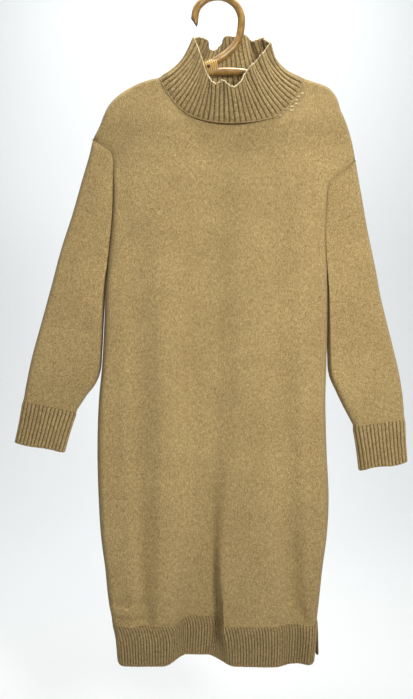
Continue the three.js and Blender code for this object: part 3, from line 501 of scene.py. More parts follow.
def across_seam(side, rows):
    """Direction in the front view across the armhole seam, from the body to the sleeve."""
    ahead = ARMHOLES[side].at_number(np.minimum(rows + 0.2, LAST_STATION))
    behind = ARMHOLES[side].at_number(np.maximum(rows - 0.2, 0))
    step = ahead[:, 1:3] - behind[:, 1:3]
    step /= np.linalg.norm(step, axis=1, keepdims=True)
    return np.stack([-side * step[:, 1], side * step[:, 0]], -1)


def facings(grid, ring, sign):
    """Facing of each point of a grid, from its neighbours."""
    if ring:
        across = np.roll(grid, -1, axis=1) - np.roll(grid, 1, axis=1)
    else:
        across = np.gradient(grid, axis=1)
    down = np.gradient(grid, axis=0)
    normals = np.cross(down, across) * sign
    return normals / np.maximum(np.linalg.norm(normals, axis=-1, keepdims=True), 1e-9)


def unit(vectors):
    return vectors / np.maximum(np.linalg.norm(vectors, axis=-1, keepdims=True), 1e-9)


def flatten_z(normals):
    normals[..., 2] = 0
    return unit(normals)


def flatten(normals, plane):
    """Takes out of a row of facings what lies along one direction."""
    return unit(normals - np.outer(normals @ plane, plane))


def rounded_rim(outer, inner, end, steps=3):
    """Adds rows past one end of a wall so that its free edge is round."""
    edge, near = (0, 1) if end == "start" else (-1, -2)
    top, bottom = outer[edge], inner[edge]
    middle = (top + bottom) / 2
    half = (top - bottom) / 2
    reach = unit(outer[edge] - outer[near]) * np.linalg.norm(half, axis=-1, keepdims=True)
    rows_out, rows_in = [], []
    for k in range(1, steps + 1):
        angle = math.pi / 2 * k / (steps + 0.5)
        rows_out.append(middle + half * math.cos(angle) + reach * math.sin(angle))
        rows_in.append(middle - half * math.cos(angle) + reach * math.sin(angle))
    if end == "start":
        return np.concatenate([rows_out[::-1], outer]), np.concatenate([rows_in[::-1], inner])
    return np.concatenate([outer, rows_out]), np.concatenate([inner, rows_in])


def cloth_places(grid, ring, axis):
    """Place on the cloth in millimetres: around across the wales, and up along the axis."""
    axis = np.array(axis, float)
    closed = np.concatenate([grid, grid[:, :1]], axis=1) if ring else grid
    steps = np.diff(closed, axis=1)
    steps = steps - (steps @ axis)[..., None] * axis
    lengths = np.linalg.norm(steps, axis=2)
    across = np.concatenate([np.zeros((len(grid), 1)), np.cumsum(lengths, axis=1)], axis=1)
    centre = closed.shape[1] // (4 if ring else 2)
    return np.stack([across - across[:, centre][:, None], closed @ axis], -1)


def rib_places(grid, ring, phase):
    """Place on a ribbed wall in millimetres: ribs of one width around, and up from the last row."""
    closed = np.concatenate([grid, grid[:, :1]], axis=1) if ring else grid
    steps = np.linalg.norm(np.diff(closed, axis=0), axis=2)
    down = np.concatenate([np.zeros((1, closed.shape[1])), np.cumsum(steps, axis=0)], axis=0)
    around = np.broadcast_to(phase * RIB_MM, down.shape)
    return np.stack([around, down[-1][None, :] - down], -1)


def ring_numbers(rows, columns):
    """Numbers of a grid's points, with the first column once more at the end."""
    number = np.arange(rows * columns).reshape(rows, columns)
    return np.hstack([number, number[:, :1]])


def quads(numbers, places):
    """Faces of a grid of point numbers, with the places of their corners."""
    corners = [numbers[:-1, :-1], numbers[:-1, 1:], numbers[1:, 1:], numbers[1:, :-1]]
    spots = [places[:-1, :-1], places[:-1, 1:], places[1:, 1:], places[1:, :-1]]
    faces = np.stack([c.ravel() for c in corners], -1)
    return faces, np.stack([spot.reshape(-1, 2) for spot in spots], 1)


def flipped(part):
    return part[0][:, ::-1], part[1][:, ::-1]


def placed(name, data):
    """New object in the scene."""
    item = bpy.data.objects.new(name, data)
    bpy.context.scene.collection.objects.link(item)
    return item


def mesh_piece(name, points, faces, places, materials, slots=None):
    """Smooth mesh object from quads, with each corner's place on the cloth."""
    corners = points[faces]
    volume = np.einsum("ij,ij->i", corners[:, 0], np.cross(corners[:, 1], corners[:, 2])).sum()
    volume += np.einsum("ij,ij->i", corners[:, 0], np.cross(corners[:, 2], corners[:, 3])).sum()
    if volume < 0:
        faces, places = flipped((faces, places))
    mesh = bpy.data.meshes.new(name)
    mesh.vertices.add(len(points))
    mesh.vertices.foreach_set("co", (points * MM).ravel())
    mesh.loops.add(faces.size)
    mesh.loops.foreach_set("vertex_index", faces.ravel().astype(np.int32))
    mesh.polygons.add(len(faces))
    mesh.polygons.foreach_set("loop_start", np.arange(0, faces.size, 4, dtype=np.int32))
    mesh.update(calc_edges=True)
    layer = mesh.uv_layers.new(name="cloth_mm")
    layer.data.foreach_set("uv", places.reshape(-1, 2).ravel().astype(np.float32))
    mesh.polygons.foreach_set("use_smooth", np.ones(len(faces), bool))
    for material in materials:
        mesh.materials.append(material)
    if slots is not None:
        mesh.polygons.foreach_set("material_index", slots.astype(np.int32))
    mesh.set_sharp_from_angle(angle=math.radians(60))
    mesh.validate()
    return placed(name, mesh)


def wall_mesh(name, outer, inner, ring, places, materials, rim_rows=0):
    """One closed cloth wall from its outer and inner grids.

    Its last rim_rows take the second material.
    """
    rows, columns = outer.shape[:2]
    number = ring_numbers(rows, columns)
    if not ring:
        number = number[:, :-1]
    inside = number + rows * columns

    def strip(first, second, spots):
        return quads(np.stack([first, second]), np.stack([spots, spots]))

    parts = [
        quads(number, places),
        flipped(quads(inside, places)),
        strip(inside[0], number[0], places[0]),
        strip(number[-1], inside[-1], places[-1]),
    ]
    if not ring:
        parts.append(strip(number[:, 0], inside[:, 0], places[:, 0]))
        parts.append(strip(inside[:, -1], number[:, -1], places[:, -1]))
    faces = np.concatenate([part[0] for part in parts])
    spots = np.concatenate([part[1] for part in parts])
    slots = None
    if rim_rows:
        face_row = np.repeat(np.arange(rows - 1), number.shape[1] - 1) >= rows - 1 - rim_rows
        ends = [np.full(len(part[0]), k == 3) for k, part in enumerate(parts) if k > 1]
        slots = np.concatenate([face_row, face_row, *ends])
    points = np.concatenate([outer.reshape(-1, 3), inner.reshape(-1, 3)])
    return mesh_piece(name, points, faces, spots, materials, slots)


def bead(name, path, radius, material, sides=8):
    """Thin round strand along a closed path."""
    tangent = unit(np.roll(path, -1, axis=0) - np.roll(path, 1, axis=0))
    side = unit(np.cross(tangent, np.array([0.13, 0.97, 0.2])))
    rise = np.cross(side, tangent)
    angles = np.linspace(0, 2 * math.pi, sides, endpoint=False)
    ring = np.cos(angles)[None, :, None] * side[:, None]
    ring = ring + np.sin(angles)[None, :, None] * rise[:, None]
    grid = path[:, None] + radius * ring
    number = ring_numbers(len(path), sides)
    number = np.vstack([number, number[:1]])
    steps = np.linalg.norm(np.roll(path, -1, axis=0) - path, axis=1)
    run = np.concatenate([[0], np.cumsum(steps)])
    around = np.linspace(0, 2 * math.pi * radius, sides + 1)
    places = np.stack(np.broadcast_arrays(around[None, :], run[:, None]), -1)
    faces, spots = quads(number, places)
    return mesh_piece(name, grid.reshape(-1, 3), faces, spots, [material])


def unevenness(x, z, seed, size=0.5):
    """Soft waver of hand-hung knit, in millimetres."""
    waves = (
        np.sin(x / 23.0 + seed) * np.sin(z / 57.0 + 1.7 * seed),
        np.sin(x / 41.0 - z / 96.0 + 2.3 * seed),
        np.sin(x / 61.0 + z / 33.0 + 0.9 * seed),
    )
    return size * sum(waves) / 2


# Panels

def spread(count, start, end, both=False):
    """Numbers from start to end, closer together at the start, or at both ends."""
    share = np.linspace(0, 1, count + 1)
    if both:
        share = (1 - np.cos(math.pi * share)) / 2
    else:
        share = 1 - np.cos(math.pi / 2 * share)
    return mix(start, end, share)


def panel_columns():
    shoulder = spread(SHOULDER_STEPS, 0, NECK_START)[:-1]
    neck = spread(NECK_STEPS, NECK_START, 1 - NECK_START, both=True)
    return np.concatenate([shoulder, neck, (1 - shoulder)[::-1]])


def panel_rows():
    tip = spread(TIP_STEPS, 0, 1)
    middle = np.linspace(1, LAST_STATION, (LAST_STATION - 1) * STATION_STEPS + 1)[1:]
    lower = np.linspace(LAST_STATION, LAST_STATION + 1, LOWER_STEPS + 1)[1:]
    return np.concatenate([tip, middle, lower])


def upper_rim(face, u):
    left = LEFT_SHOULDER.at(1 - np.clip(u / NECK_START, 0, 1))
    right = RIGHT_SHOULDER.at(1 - np.clip((1 - u) / NECK_START, 0, 1))
    neck = NECKLINES[face].at(np.clip((u - NECK_START) / (1 - 2 * NECK_START), 0, 1))
    rim = np.where((u < NECK_START)[:, None], left, neck)
    return np.where((u > 1 - NECK_START)[:, None], right, rim)


def panel_grid(face):
    columns, rows = panel_columns(), panel_rows()
    left, right = stations(-1, rows), stations(1, rows)
    top = upper_rim(face, columns)
    across = (top[:, 0] - left["x"][0]) / (right["x"][0] - left["x"][0])
    above = top[:, 1] - mix(left["z"][0], right["z"][0], across)
    rise = np.maximum(0, 1 - rows / LAST_STATION) ** RIM_FADE
    x = mix(left["x"][:, None], right["x"][:, None], across)
    z = mix(left["z"][:, None], right["z"][:, None], across) + rise[:, None] * above
    y = body_depth(face, x, z, left["x"][:, None], right["x"][:, None])
    calm = quarter(distance_to_chain(SHOULDER_CHAINS[0], x, z) / 60)
    calm = calm * quarter(distance_to_chain(SHOULDER_CHAINS[1], x, z) / 60)
    y = y + face * unevenness(x, z, 1.0 if face == FRONT else 4.0) * calm
    y = y + creases(face, x, z)
    key = "front" if face == FRONT else "back"
    for edge in (left, right):
        away = np.hypot(x - edge["x"][:, None], z - edge["z"][:, None])
        y = mix(face * edge[key][:, None], y, quarter(away / SIDE_ROUND))
    y = np.where(np.abs(y) < SEAM_GAP / 2, face * SEAM_GAP / 2, y)
    points = np.stack([x, y, z + drawn_up(face, x, z)], -1)
    upper = rows <= LAST_STATION
    for column, side in ((0, -1), (-1, 1)):
        apart = across_seam(side, rows[upper])
        points[upper, column, 0] -= apart[:, 0] * ARMHOLE_GAP / 2
        points[upper, column, 2] -= apart[:, 1] * ARMHOLE_GAP / 2
    normals = facings(points, False, -face)
    normals[:, 0] = station_normals(face, left)
    normals[:, -1] = station_normals(face, right)
    on_shoulder = (columns <= NECK_START) | (columns >= 1 - NECK_START)
    rim_step = np.gradient(points[0], axis=0)
    rim_facing = unit(np.stack([-rim_step[:, 2], np.zeros(len(columns)), rim_step[:, 0]], -1))
    normals[0][on_shoulder] = rim_facing[on_shoulder]
    normals[-1] = flatten_z(normals[-1])
    return points, normals


# Creases and soft hollows: x and z of each end, half width and depth, positive for a trough
CREASES = {
    FRONT: [
        ((-50, -258), (106, -258), 46, 12.0),
        ((2, -290), (-6, -700), 34, 5.5),
        ((128, -400), (134, -960), 34, -4.0),
        ((-112, -330), (-96, -900), 34, -3.5),
        ((-188, -1040), (-112, -1047), 6, 4.0),
        ((-188, -1054), (-124, -1066), 6, -4.4),
        ((-184, -1066), (-112, -1074), 5, 3.4),
        ((-180, -1074), (-118, -1084), 6, -4.0),
        ((-134, -940), (-120, -1080), 9, 4.6),
        ((136, -1040), (156, -1086), 7, 5.5),
        ((16, -1060), (60, -1075), 14, 1.8),
        ((70, -880), (76, -1070), 18, -2.2),
        ((-70, -850), (-66, -1060), 16, -2.4),
        ((168, -330), (150, -420), 12, 1.6),
        ((-166, -320), (-156, -430), 11, 1.8),
        ((-150, -232), (-172, -300), 12, 1.2),
        ((-90, -560), (-84, -760), 16, -1.2),
        ((62, -470), (66, -700), 18, -1.0),
        ((158, -640), (150, -900), 16, 1.4),
        ((-176, -620), (-166, -900), 14, 1.2),
    ],
    BACK: [
        ((-166, -330), (-152, -440), 12, -1.8),
        ((168, -340), (154, -450), 12, -1.8),
        ((-30, -240), (24, -300), 30, -1.2),
        ((-176, -1030), (-130, -1070), 10, -1.6),
        ((170, -1020), (128, -1066), 10, -1.8),
        ((-10, -700), (-4, -1000), 20, 1.4),
    ],
}


def creases(face, x, z):
    total = np.zeros(np.shape(x))
    for start, end, width, depth in CREASES[face]:
        share, away = segment_place(np.array(start, float), np.array(end, float), x, z)
        fade = np.sin(math.pi * np.clip(share * 0.9 + 0.05, 0, 1)) ** 0.7
        total = total + depth * np.exp(-((away / width) ** 2)) * fade
    return total


def body_panel(name, face, material):
    points, normals = panel_grid(face)
    places = cloth_places(points, False, (0, 0, 1))
    return wall_mesh(name, points, points - normals * KNIT_WALL, False, places, [material])


# Ribbed walls

def rib_profile(phase):
    """Height of each column of a ribbed wall, 0 in a valley and about 1 on a ridge."""
    height = np.abs(np.sin(math.pi * phase)) ** 0.6
    number = np.floor(phase)
    return height * (1 + 0.1 * np.sin(number * 2.7) + 0.07 * np.sin(number * 5.3 + 1))


def ribbed_wall(name, points, normals, ring, materials, sides=False, rim_rows=0):
    """Wall whose ribs die out towards its linked edge, with its free edges rounded."""
    rows, columns = points.shape[:2]
    phase = np.arange(columns + 1 if ring else columns) / COLUMNS_PER_RIB
    profile = rib_profile(phase[:columns])[None, :, None]
    share = smooth((np.arange(rows) + 0.5) / (rows * RIB_START))[:, None, None]
    outer = points + normals * RIB_HEIGHT * profile * share
    hollow = RIB_INSIDE * RIB_HEIGHT * (1 - profile) * share
    inner = points - normals * (RIB_WALL + hollow - RIB_SET_OUT)
    outer, inner = rounded_rim(outer, inner, "end")
    if sides:
        outer, inner = outer.transpose(1, 0, 2), inner.transpose(1, 0, 2)
        for end in ("start", "end"):
            outer, inner = rounded_rim(outer, inner, end, SIDE_RIM_STEPS)
        outer, inner = outer.transpose(1, 0, 2), inner.transpose(1, 0, 2)
        phase = np.pad(phase, SIDE_RIM_STEPS, mode="edge")
    places = rib_places(outer, ring, phase)
    return wall_mesh(name, outer, inner, ring, places, materials, rim_rows)


def even_across(y_of, left, right, count):
    x = mix(left, right, (1 - np.cos(np.linspace(0, math.pi, 801))) / 2)
    chain = np.stack([x, y_of(x)], -1)
    lengths = running(chain)
    target = np.linspace(0, lengths[-1], count + 1)
    return np.interp(target, lengths, x), np.interp(target, lengths, chain[:, 1])


def hem_band(name, face, material):
    rows = []
    for share in np.linspace(0, 1, HEM_ROWS + 1):
        z = mix(HEM_SEAM_Z - SEAM_GAP, HEM_Z, share)
        first = 1 if face == FRONT else 3
        left = float(table(HEM_EDGES, first, z))
        right = float(table(HEM_EDGES, first + 1, z))
        edge_y = face * (SEAM_GAP + float(table(HEM_EDGES, 5, z)))

        def y_of(x):
            y = body_depth(face, x, np.full(x.shape, z), left, right)
            y = y + creases(face, x, np.full(x.shape, z))
            return mix(edge_y, y, quarter(np.minimum(x - left, right - x) / SIDE_ROUND))

        x, y = even_across(y_of, left, right, COLUMNS_PER_RIB * HEM_RIBS)
        rows.append(np.stack([x, y, np.full(x.shape, z)], -1))
    points = np.array(rows)
    points[..., 2] += drawn_up(face, points[..., 0], points[..., 2])
    waver = HEM_WAVER * np.sin(points[1:, :, 0] / HEM_WAVER_RUN)
    points[1:, :, 2] += waver * np.linspace(0, 1, HEM_ROWS)[:, None]
    normals = flatten_z(facings(points, False, -face))
    normals[:, 0] = (-1, 0, 0)
    normals[:, -1] = (1, 0, 0)
    return ribbed_wall(name, points, normals, False, [material], sides=True)


def oval(half_width, half_depth, shares):
    """Points round a flat oval with straight faces and round ends."""
    straight = 2 * (half_width - half_depth)
    bend = math.pi * half_depth
    at = np.mod(shares, 1) * 2 * (straight + bend)
    first = (at - straight) / half_depth - math.pi / 2
    second = (at - 2 * straight - bend) / half_depth + math.pi / 2
    cases = [at < straight, at < straight + bend, at < 2 * straight + bend]
    x = np.select(cases, [
        at - straight / 2,
        straight / 2 + half_depth * np.cos(first),
        straight / 2 - (at - straight - bend),
    ], -straight / 2 + half_depth * np.cos(second))
    y = np.select(cases, [
        np.full(at.shape, -half_depth),
        half_depth * np.sin(first),
        np.full(at.shape, half_depth),
    ], half_depth * np.sin(second))
    return x, y


def cuff_frame(shape, share):
    start = np.array([shape["outer"][-1], shape["inner"][-1]], float)
    end = np.array(shape["cuff_end"], float)
    edges = mix(start, end, share)
    across = edges[1] - edges[0]
    half_width = np.linalg.norm(across) / 2
    across = across / (2 * half_width)
    axis = np.array([across[1], -across[0]])
    if axis[1] > 0:
        axis = -axis
    return edges.mean(axis=0), across, axis, half_width


def seam_plane(shape):
    """Direction along the sleeve at its cuff seam."""
    axis = cuff_frame(shape, 0)[2]
    return np.array([axis[0], 0, axis[1]])


def cuff(name, shape, material):
    columns = COLUMNS_PER_RIB * CUFF_RIBS
    shares = np.arange(columns) / columns
    rows = []
    for j in range(CUFF_ROWS + 1):
        share = j / CUFF_ROWS
        middle, across, axis, half_width = cuff_frame(shape, share)
        half_depth = mix(CUFF_START_HALF_DEPTH, CUFF_END_HALF_DEPTH, share)
        pinch = 1 - CUFF_PINCH * math.sin(math.pi * share)
        x, y = oval(half_width * pinch, half_depth, shares)
        wave = shape["hem_wave"] * np.sin(2 * math.pi * CUFF_WAVES * shares) * share**2
        lift = (SEAM_GAP / 2 if j == 0 else 0) + wave
        place = middle + np.outer(x, across) + np.outer(lift * np.ones(columns), axis)
        rows.append(lifted(place, y))
    points = np.array(rows)
    normals = facings(points, True, -shape["sign"])
    normals[0] = flatten(normals[0], seam_plane(shape))
    return ribbed_wall(name, points, normals, True, [material])


# Sleeves

# Creases of each sleeve: share along and across at each end, half width and depth
SLEEVE_CREASES = {
    "left": [
        ((0.16, 0.75), (0.34, 0.45), 9, 1.4), ((0.5, 0.9), (0.62, 0.5), 9, 1.3),
        ((0.84, 0.95), (0.93, 0.55), 7, 1.5), ((0.72, 0.2), (0.86, 0.4), 9, 1.0),
        ((0.3, 0.15), (0.55, 0.3), 12, -1.0),
    ],
    "right": [
        ((0.14, 0.7), (0.3, 0.4), 9, 1.3), ((0.55, 0.85), (0.68, 0.45), 9, 1.2),
        ((0.86, 0.9), (0.94, 0.5), 7, 1.4), ((0.7, 0.15), (0.84, 0.35), 9, 1.0),
        ((0.35, 0.2), (0.6, 0.35), 12, -1.0),
    ],
}


def sleeve_creases(side, along, across, length, width):
    total = np.zeros(np.shape(across))
    size = np.array([width, length])
    for start, end, reach, depth in SLEEVE_CREASES[side]:
        first, last = np.array(start[::-1]) * size, np.array(end[::-1]) * size
        share, away = segment_place(first, last, across * width, along * length)
        fade = np.sin(math.pi * mix(0.08, 0.92, share))
        total = total + depth * np.exp(-((away / reach) ** 2)) * fade
    return total


def sleeve(name, side, material):
    shape = SLEEVES[side]
    sign = shape["sign"]
    outer, inner = Course(shape["outer"]), Course(shape["inner"])
    numbers = np.concatenate([
        spread(SLEEVE_TIP_STEPS, 0, 1),
        np.linspace(1, LAST_STATION - 1, SLEEVE_STEPS + 1)[1:],
        np.linspace(LAST_STATION - 1, LAST_STATION, UNDERARM_STEPS + 1)[1:],
    ])
    edge = stations(sign, numbers)
    across = np.clip(ARMHOLES[sign].at_number(numbers)[:, 0], 0, 1)
    along = np.concatenate([SLEEVE_FIRST_RINGS, np.linspace(SLEEVE_RINGS_FROM, 1, SLEEVE_RINGS)])
    halves = []
    out, into = outer.at(along), inner.at(along)
    length = outer.lengths[-1]
    width = np.linalg.norm(out[-1] - into[-1])
    common = smooth((along - LAST_BEND) / (1 - LAST_BEND))[:, None]
    inner_round = mix(shape["inner_round"], SLEEVE_ROUND, common)
    for face, key, column in ((FRONT, "front", 1), (BACK, "back", 2)):
        place = []
        for k, axis in enumerate(("x", "z")):
            base = mix(out[:, k][:, None], into[:, k][:, None], across[None, :])
            start = edge[axis] - mix(out[0, k], into[0, k], across)
            place.append(base + (1 - along)[:, None] * start[None, :])
        x, z = place
        depth = face * table(SLEEVE_DEPTHS, column, along)[:, None]
        from_out = quarter(np.hypot(x - out[:, :1], z - out[:, 1:]) / SLEEVE_ROUND)
        from_inner = quarter(np.hypot(x - into[:, :1], z - into[:, 1:]) / inner_round)
        from_seam = quarter(np.hypot(x - edge["x"], z - edge["z"]) / SLEEVE_ROUND)
        tube = depth * from_out * from_inner
        calm = smooth(along / 0.1)[:, None] * smooth((1 - along) / 0.05)[:, None]
        soft = sleeve_creases(side, along[:, None], across[None, :], length, width)
        soft = soft - unevenness(x, z, 2.0 + face, 0.4)
        tube = tube - face * soft * calm * from_out * from_inner
        y = mix(face * edge[key][None, :], tube, from_seam)
        halves.append(np.stack([x, y, z], -1))
    points = np.concatenate([halves[0], halves[1][:, -2:0:-1]], axis=1)
    points[:, 0, 1] = 0
    points[:, len(numbers) - 1, 1] = 0
    normals = facings(points, True, -sign)
    first = [station_normals(face, edge) for face in (FRONT, BACK)]
    normals[0] = round_trip(*first)
    shift = across_seam(sign, numbers)
    shift = round_trip(shift, shift)
    points[0, :, 0] += shift[:, 0] * ARMHOLE_GAP / 2
    points[0, :, 2] += shift[:, 1] * ARMHOLE_GAP / 2
    plane = seam_plane(shape)
    points[-1] -= plane * SEAM_GAP / 2
    normals[-1] = flatten(normals[-1], plane)
    places = cloth_places(points, True, -plane)
    return wall_mesh(name, points, points - normals * KNIT_WALL, True, places, [material])


# Collar

def neck_chain(face, count):
    u = mix(NECK_START, 1 - NECK_START, np.linspace(0, 1, count))
    rim = upper_rim(face, u)
    rim[0] = NECK[face][0]
    rim[-1] = NECK[face][-1]
    y = body_depth(face, rim[:, 0], rim[:, 1], *NECK_SIDES)
    return lifted(rim, y)


def collar(name, materials):
    middle = (NECK[FRONT][0][0] + NECK[FRONT][-1][0]) / 2
    half_span = (NECK[FRONT][-1][0] - NECK[FRONT][0][0]) / 2
    feet, heads = [], []
    for face, edge in ((FRONT, COLLAR_EDGE_FRONT), (BACK, COLLAR_EDGE_BACK)):
        chain = neck_chain(face, 401)
        if face == BACK:
            chain = chain[::-1]
        lengths = running(chain)
        columns = COLUMNS_PER_RIB * COLLAR_RIBS[face]
        shares = np.arange(columns) / columns
        foot = np.stack([np.interp(shares * lengths[-1], lengths, axis) for axis in chain.T], -1)
        ahead = np.gradient(foot, axis=0)
        side = 1 if face == FRONT else -1
        lift = unit(np.stack([-ahead[:, 2] * side, np.zeros(columns), ahead[:, 0] * side], -1))
        foot = foot + lift * COLLAR_GAP
        foot[:, 2] += SEAM_GAP / 2
        feet.append(foot)
        heads.append(Course(edge).at(shares))
    foot, head = np.concatenate(feet), np.concatenate(heads)
    sideways = ((foot[:, 0] - middle) / half_span) ** 2
    flare = np.where((foot[:, 0] < middle)[:, None], COLLAR_FLARE["left"], COLLAR_FLARE["right"])
    bend = (foot + head) / 2
    bend[:, 0] += flare[:, 0] * sideways
    bend[:, 2] += flare[:, 1] * sideways
    bend[:, 1] *= 1 + COLLAR_BULGE * sideways
    up = np.linspace(0, 1, COLLAR_ROWS + 1)[:, None]
    t = up[..., None]
    points = (1 - t) ** 2 * foot + 2 * t * (1 - t) * bend + t * t * head
    normals = facings(points, True, -1)
    normals[0] = flatten_z(normals[0])
    phase = np.arange(points.shape[1]) / COLUMNS_PER_RIB
    flank = 1 + RUFFLE_FLANK * sideways
    ruffle = smooth((up - RUFFLE_START) / (1 - RUFFLE_START)) * RUFFLE_DEPTH * flank
    points = points + normals * (ruffle * np.sin(2 * math.pi * phase / RUFFLE_RIBS))[..., None]
    scallop = smooth((up - SCALLOP_START) / (1 - SCALLOP_START)) * SCALLOP_HEIGHT
    points[..., 2] += scallop * np.abs(np.sin(math.pi * phase))
    # The last rows at the top take the second material, a pale painted highlight
    return ribbed_wall(name, points, normals, True, materials, rim_rows=CAST_OFF_HIGHLIGHT_ROWS)


# Linking seams: thin strands that close the gaps between the pieces

def neck_seam():
    front, back = neck_chain(FRONT, 161), neck_chain(BACK, 121)
    path = round_trip(front, back)
    path[:, 1] *= NECK_SEAM_OUT
    return path


def armhole_seam(side):
    numbers = np.linspace(0, LAST_STATION, 90)
    edge = stations(side, numbers)
    halves = [np.stack([edge["x"], face * edge[key], edge["z"]], -1)
              for face, key in ((FRONT, "front"), (BACK, "back"))]
    return round_trip(*halves)


def cuff_seam(shape):
    shares = np.arange(120) / 120
    middle, across, _, half_width = cuff_frame(shape, 0)
    x, y = oval(half_width, CUFF_START_HALF_DEPTH, shares)
    return lifted(middle + np.outer(x, across), y)


def hem_seam():
    left, right = SIDE_LEFT[-1][0], SIDE_RIGHT[-1][0]
    halves = []
    for face in (FRONT, BACK):
        x = mix(left, right, (1 - np.cos(np.linspace(0, math.pi, 260))) / 2)
        z = np.full(x.shape, HEM_SEAM_Z)
        y = body_depth(face, x, z, left, right) + creases(face, x, z)
        y = mix(face * SEAM_GAP, y, quarter(np.minimum(x - left, right - x) / SIDE_ROUND))
        halves.append(np.stack([x, y, z + drawn_up(face, x, z)], -1))
    return round_trip(*halves)


# Fashioning marks: raised stitches in rows beside the neckline

FASHION_MARKS = [((118, -172), (98, -206)), ((134, -164), (116, -196))]
MARKS_IN_ROW = 6
MARK_HALF_LENGTH = 2.4
MARK_HALF_WIDTH = 0.5
MARK_RADIUS = 0.8
MARK_LIFT = 0.2


def fashion_marks(name, material):
    angles = np.linspace(0, 2 * math.pi, 12, endpoint=False)
    marks = []
    for row, (start, end) in enumerate(FASHION_MARKS):
        out = unit(np.array([start[0] + start[0] - end[0], 0.6 * (start[1] - end[1])], float))
        for k in range(MARKS_IN_ROW):
            middle = mix(np.array(start, float), np.array(end, float), k / (MARKS_IN_ROW - 1))
            middle = middle + (13 + 3 * math.sin(2.4 * k + row)) * np.array([0.8, -0.25])
            reach = MARK_HALF_LENGTH * np.cos(angles)[:, None] * out[None, :]
            aside = MARK_HALF_WIDTH * np.sin(angles)[:, None] * np.array([-out[1], out[0]])
            place = middle + reach + aside
            depth = body_depth(FRONT, place[:, 0], place[:, 1], *NECK_SIDES)
            path = lifted(place, depth - MARK_LIFT)
            marks.append(bead(f"{name}_{row}_{k}", path, MARK_RADIUS, material, sides=6))
    return joined(marks, name)


# Hanger

def under_shoulder(rows, seats):
    course = Course(rows)
    seated = []
    for k in range(seats):
        point = course.at_number(k)
        step = course.at_number(min(k + 0.05, len(rows) - 1)) - course.at_number(max(k - 0.05, 0))
        step = step / np.linalg.norm(step)
        below = np.array([step[1], -step[0]])
        if below[1] > 0:
            below = -below
        seated.append(tuple(point + below * (SHOULDER_ROUND + SEAT_SLACK)))
    return seated


def hook_arc():
    angles = np.radians(np.linspace(145, 8, 7))
    return [(HOOK_RADIUS * math.cos(a), HOOK_CENTRE_Z + HOOK_RADIUS * math.sin(a)) for a in angles]


def cane(name, rows, material, end_material, knots, slant=0.0, sides=28):
    """Round cane along a flat course, with swollen knots and closed ends."""
    course = Course(rows)
    count = int(course.lengths[-1] / 2.2)
    shares = np.linspace(0, 1, count)
    centre = course.at(shares)
    tangent = unit(np.gradient(centre, axis=0))
    side = np.stack([-tangent[:, 1], tangent[:, 0]], -1)
    angles = np.linspace(0, 2 * math.pi, sides, endpoint=False)
    run = shares * course.lengths[-1]
    radius = np.full(count, CANE_RADIUS)
    for knot in knots:
        radius = radius * (1 + 0.035 * np.exp(-(((run - knot) / 3.0) ** 2)))
        radius = radius * (1 - 0.03 * np.exp(-(((run - knot - 4.5) / 1.6) ** 2)))
    radius = radius * (1 + 0.012 * np.sin(run / 17.0) + 0.01 * np.sin(run / 41.0 + 1))
    ease = np.clip(run / 1.5, 0, 1) * np.clip((run[-1] - run) / 1.5, 0, 1)
    radius = radius - 1.0 * (1 - np.sqrt(1 - (1 - ease) ** 2))
    level = np.zeros(count)
    ring = np.cos(angles)[None, :, None] * lifted(side, level)[:, None]
    ring = ring + np.sin(angles)[None, :, None] * np.array([0.0, 1.0, 0.0])
    points = lifted(centre, level)[:, None] + ring * radius[:, None, None]
    tip = np.exp(-run / SLANT_RUN)[:, None] * slant * np.cos(angles)[None, :] * CANE_RADIUS
    points = points + tip[..., None] * lifted(tangent, level)[:, None]
    number = ring_numbers(count, sides)
    around = np.arange(sides + 1) / sides * CANE_ROUND_MM
    faces, places = quads(number, np.stack(np.broadcast_arrays(around[None, :], run[:, None]), -1))
    faces, places = faces.tolist(), places.reshape(-1, 2).tolist()
    vertices = (points.reshape(-1, 3) * MM).tolist()
    for row, order in ((0, -1), (-1, 1)):
        corners = number[row].tolist()
        for pair in zip(corners[:-1], corners[1:]):
            faces.append([*pair[::order], len(vertices)])
        vertices.append((points[row].mean(axis=0) * MM).tolist())
        places += [(0, 0), (1, 0), (0, 1)] * sides
    mesh = bpy.data.meshes.new(name)
    mesh.from_pydata(vertices, [], faces)
    layer = mesh.uv_layers.new(name="cloth_mm")
    layer.data.foreach_set("uv", np.array(places, np.float32).ravel())
    mesh.polygons.foreach_set("use_smooth", np.ones(len(faces), bool))
    mesh.materials.append(material)
    mesh.materials.append(end_material)
    for polygon in mesh.polygons[-2 * sides:]:
        polygon.material_index = 1
    mesh.update()
    recalculate(mesh)
    mesh.set_sharp_from_angle(angle=math.radians(50))
    return placed(name, mesh)


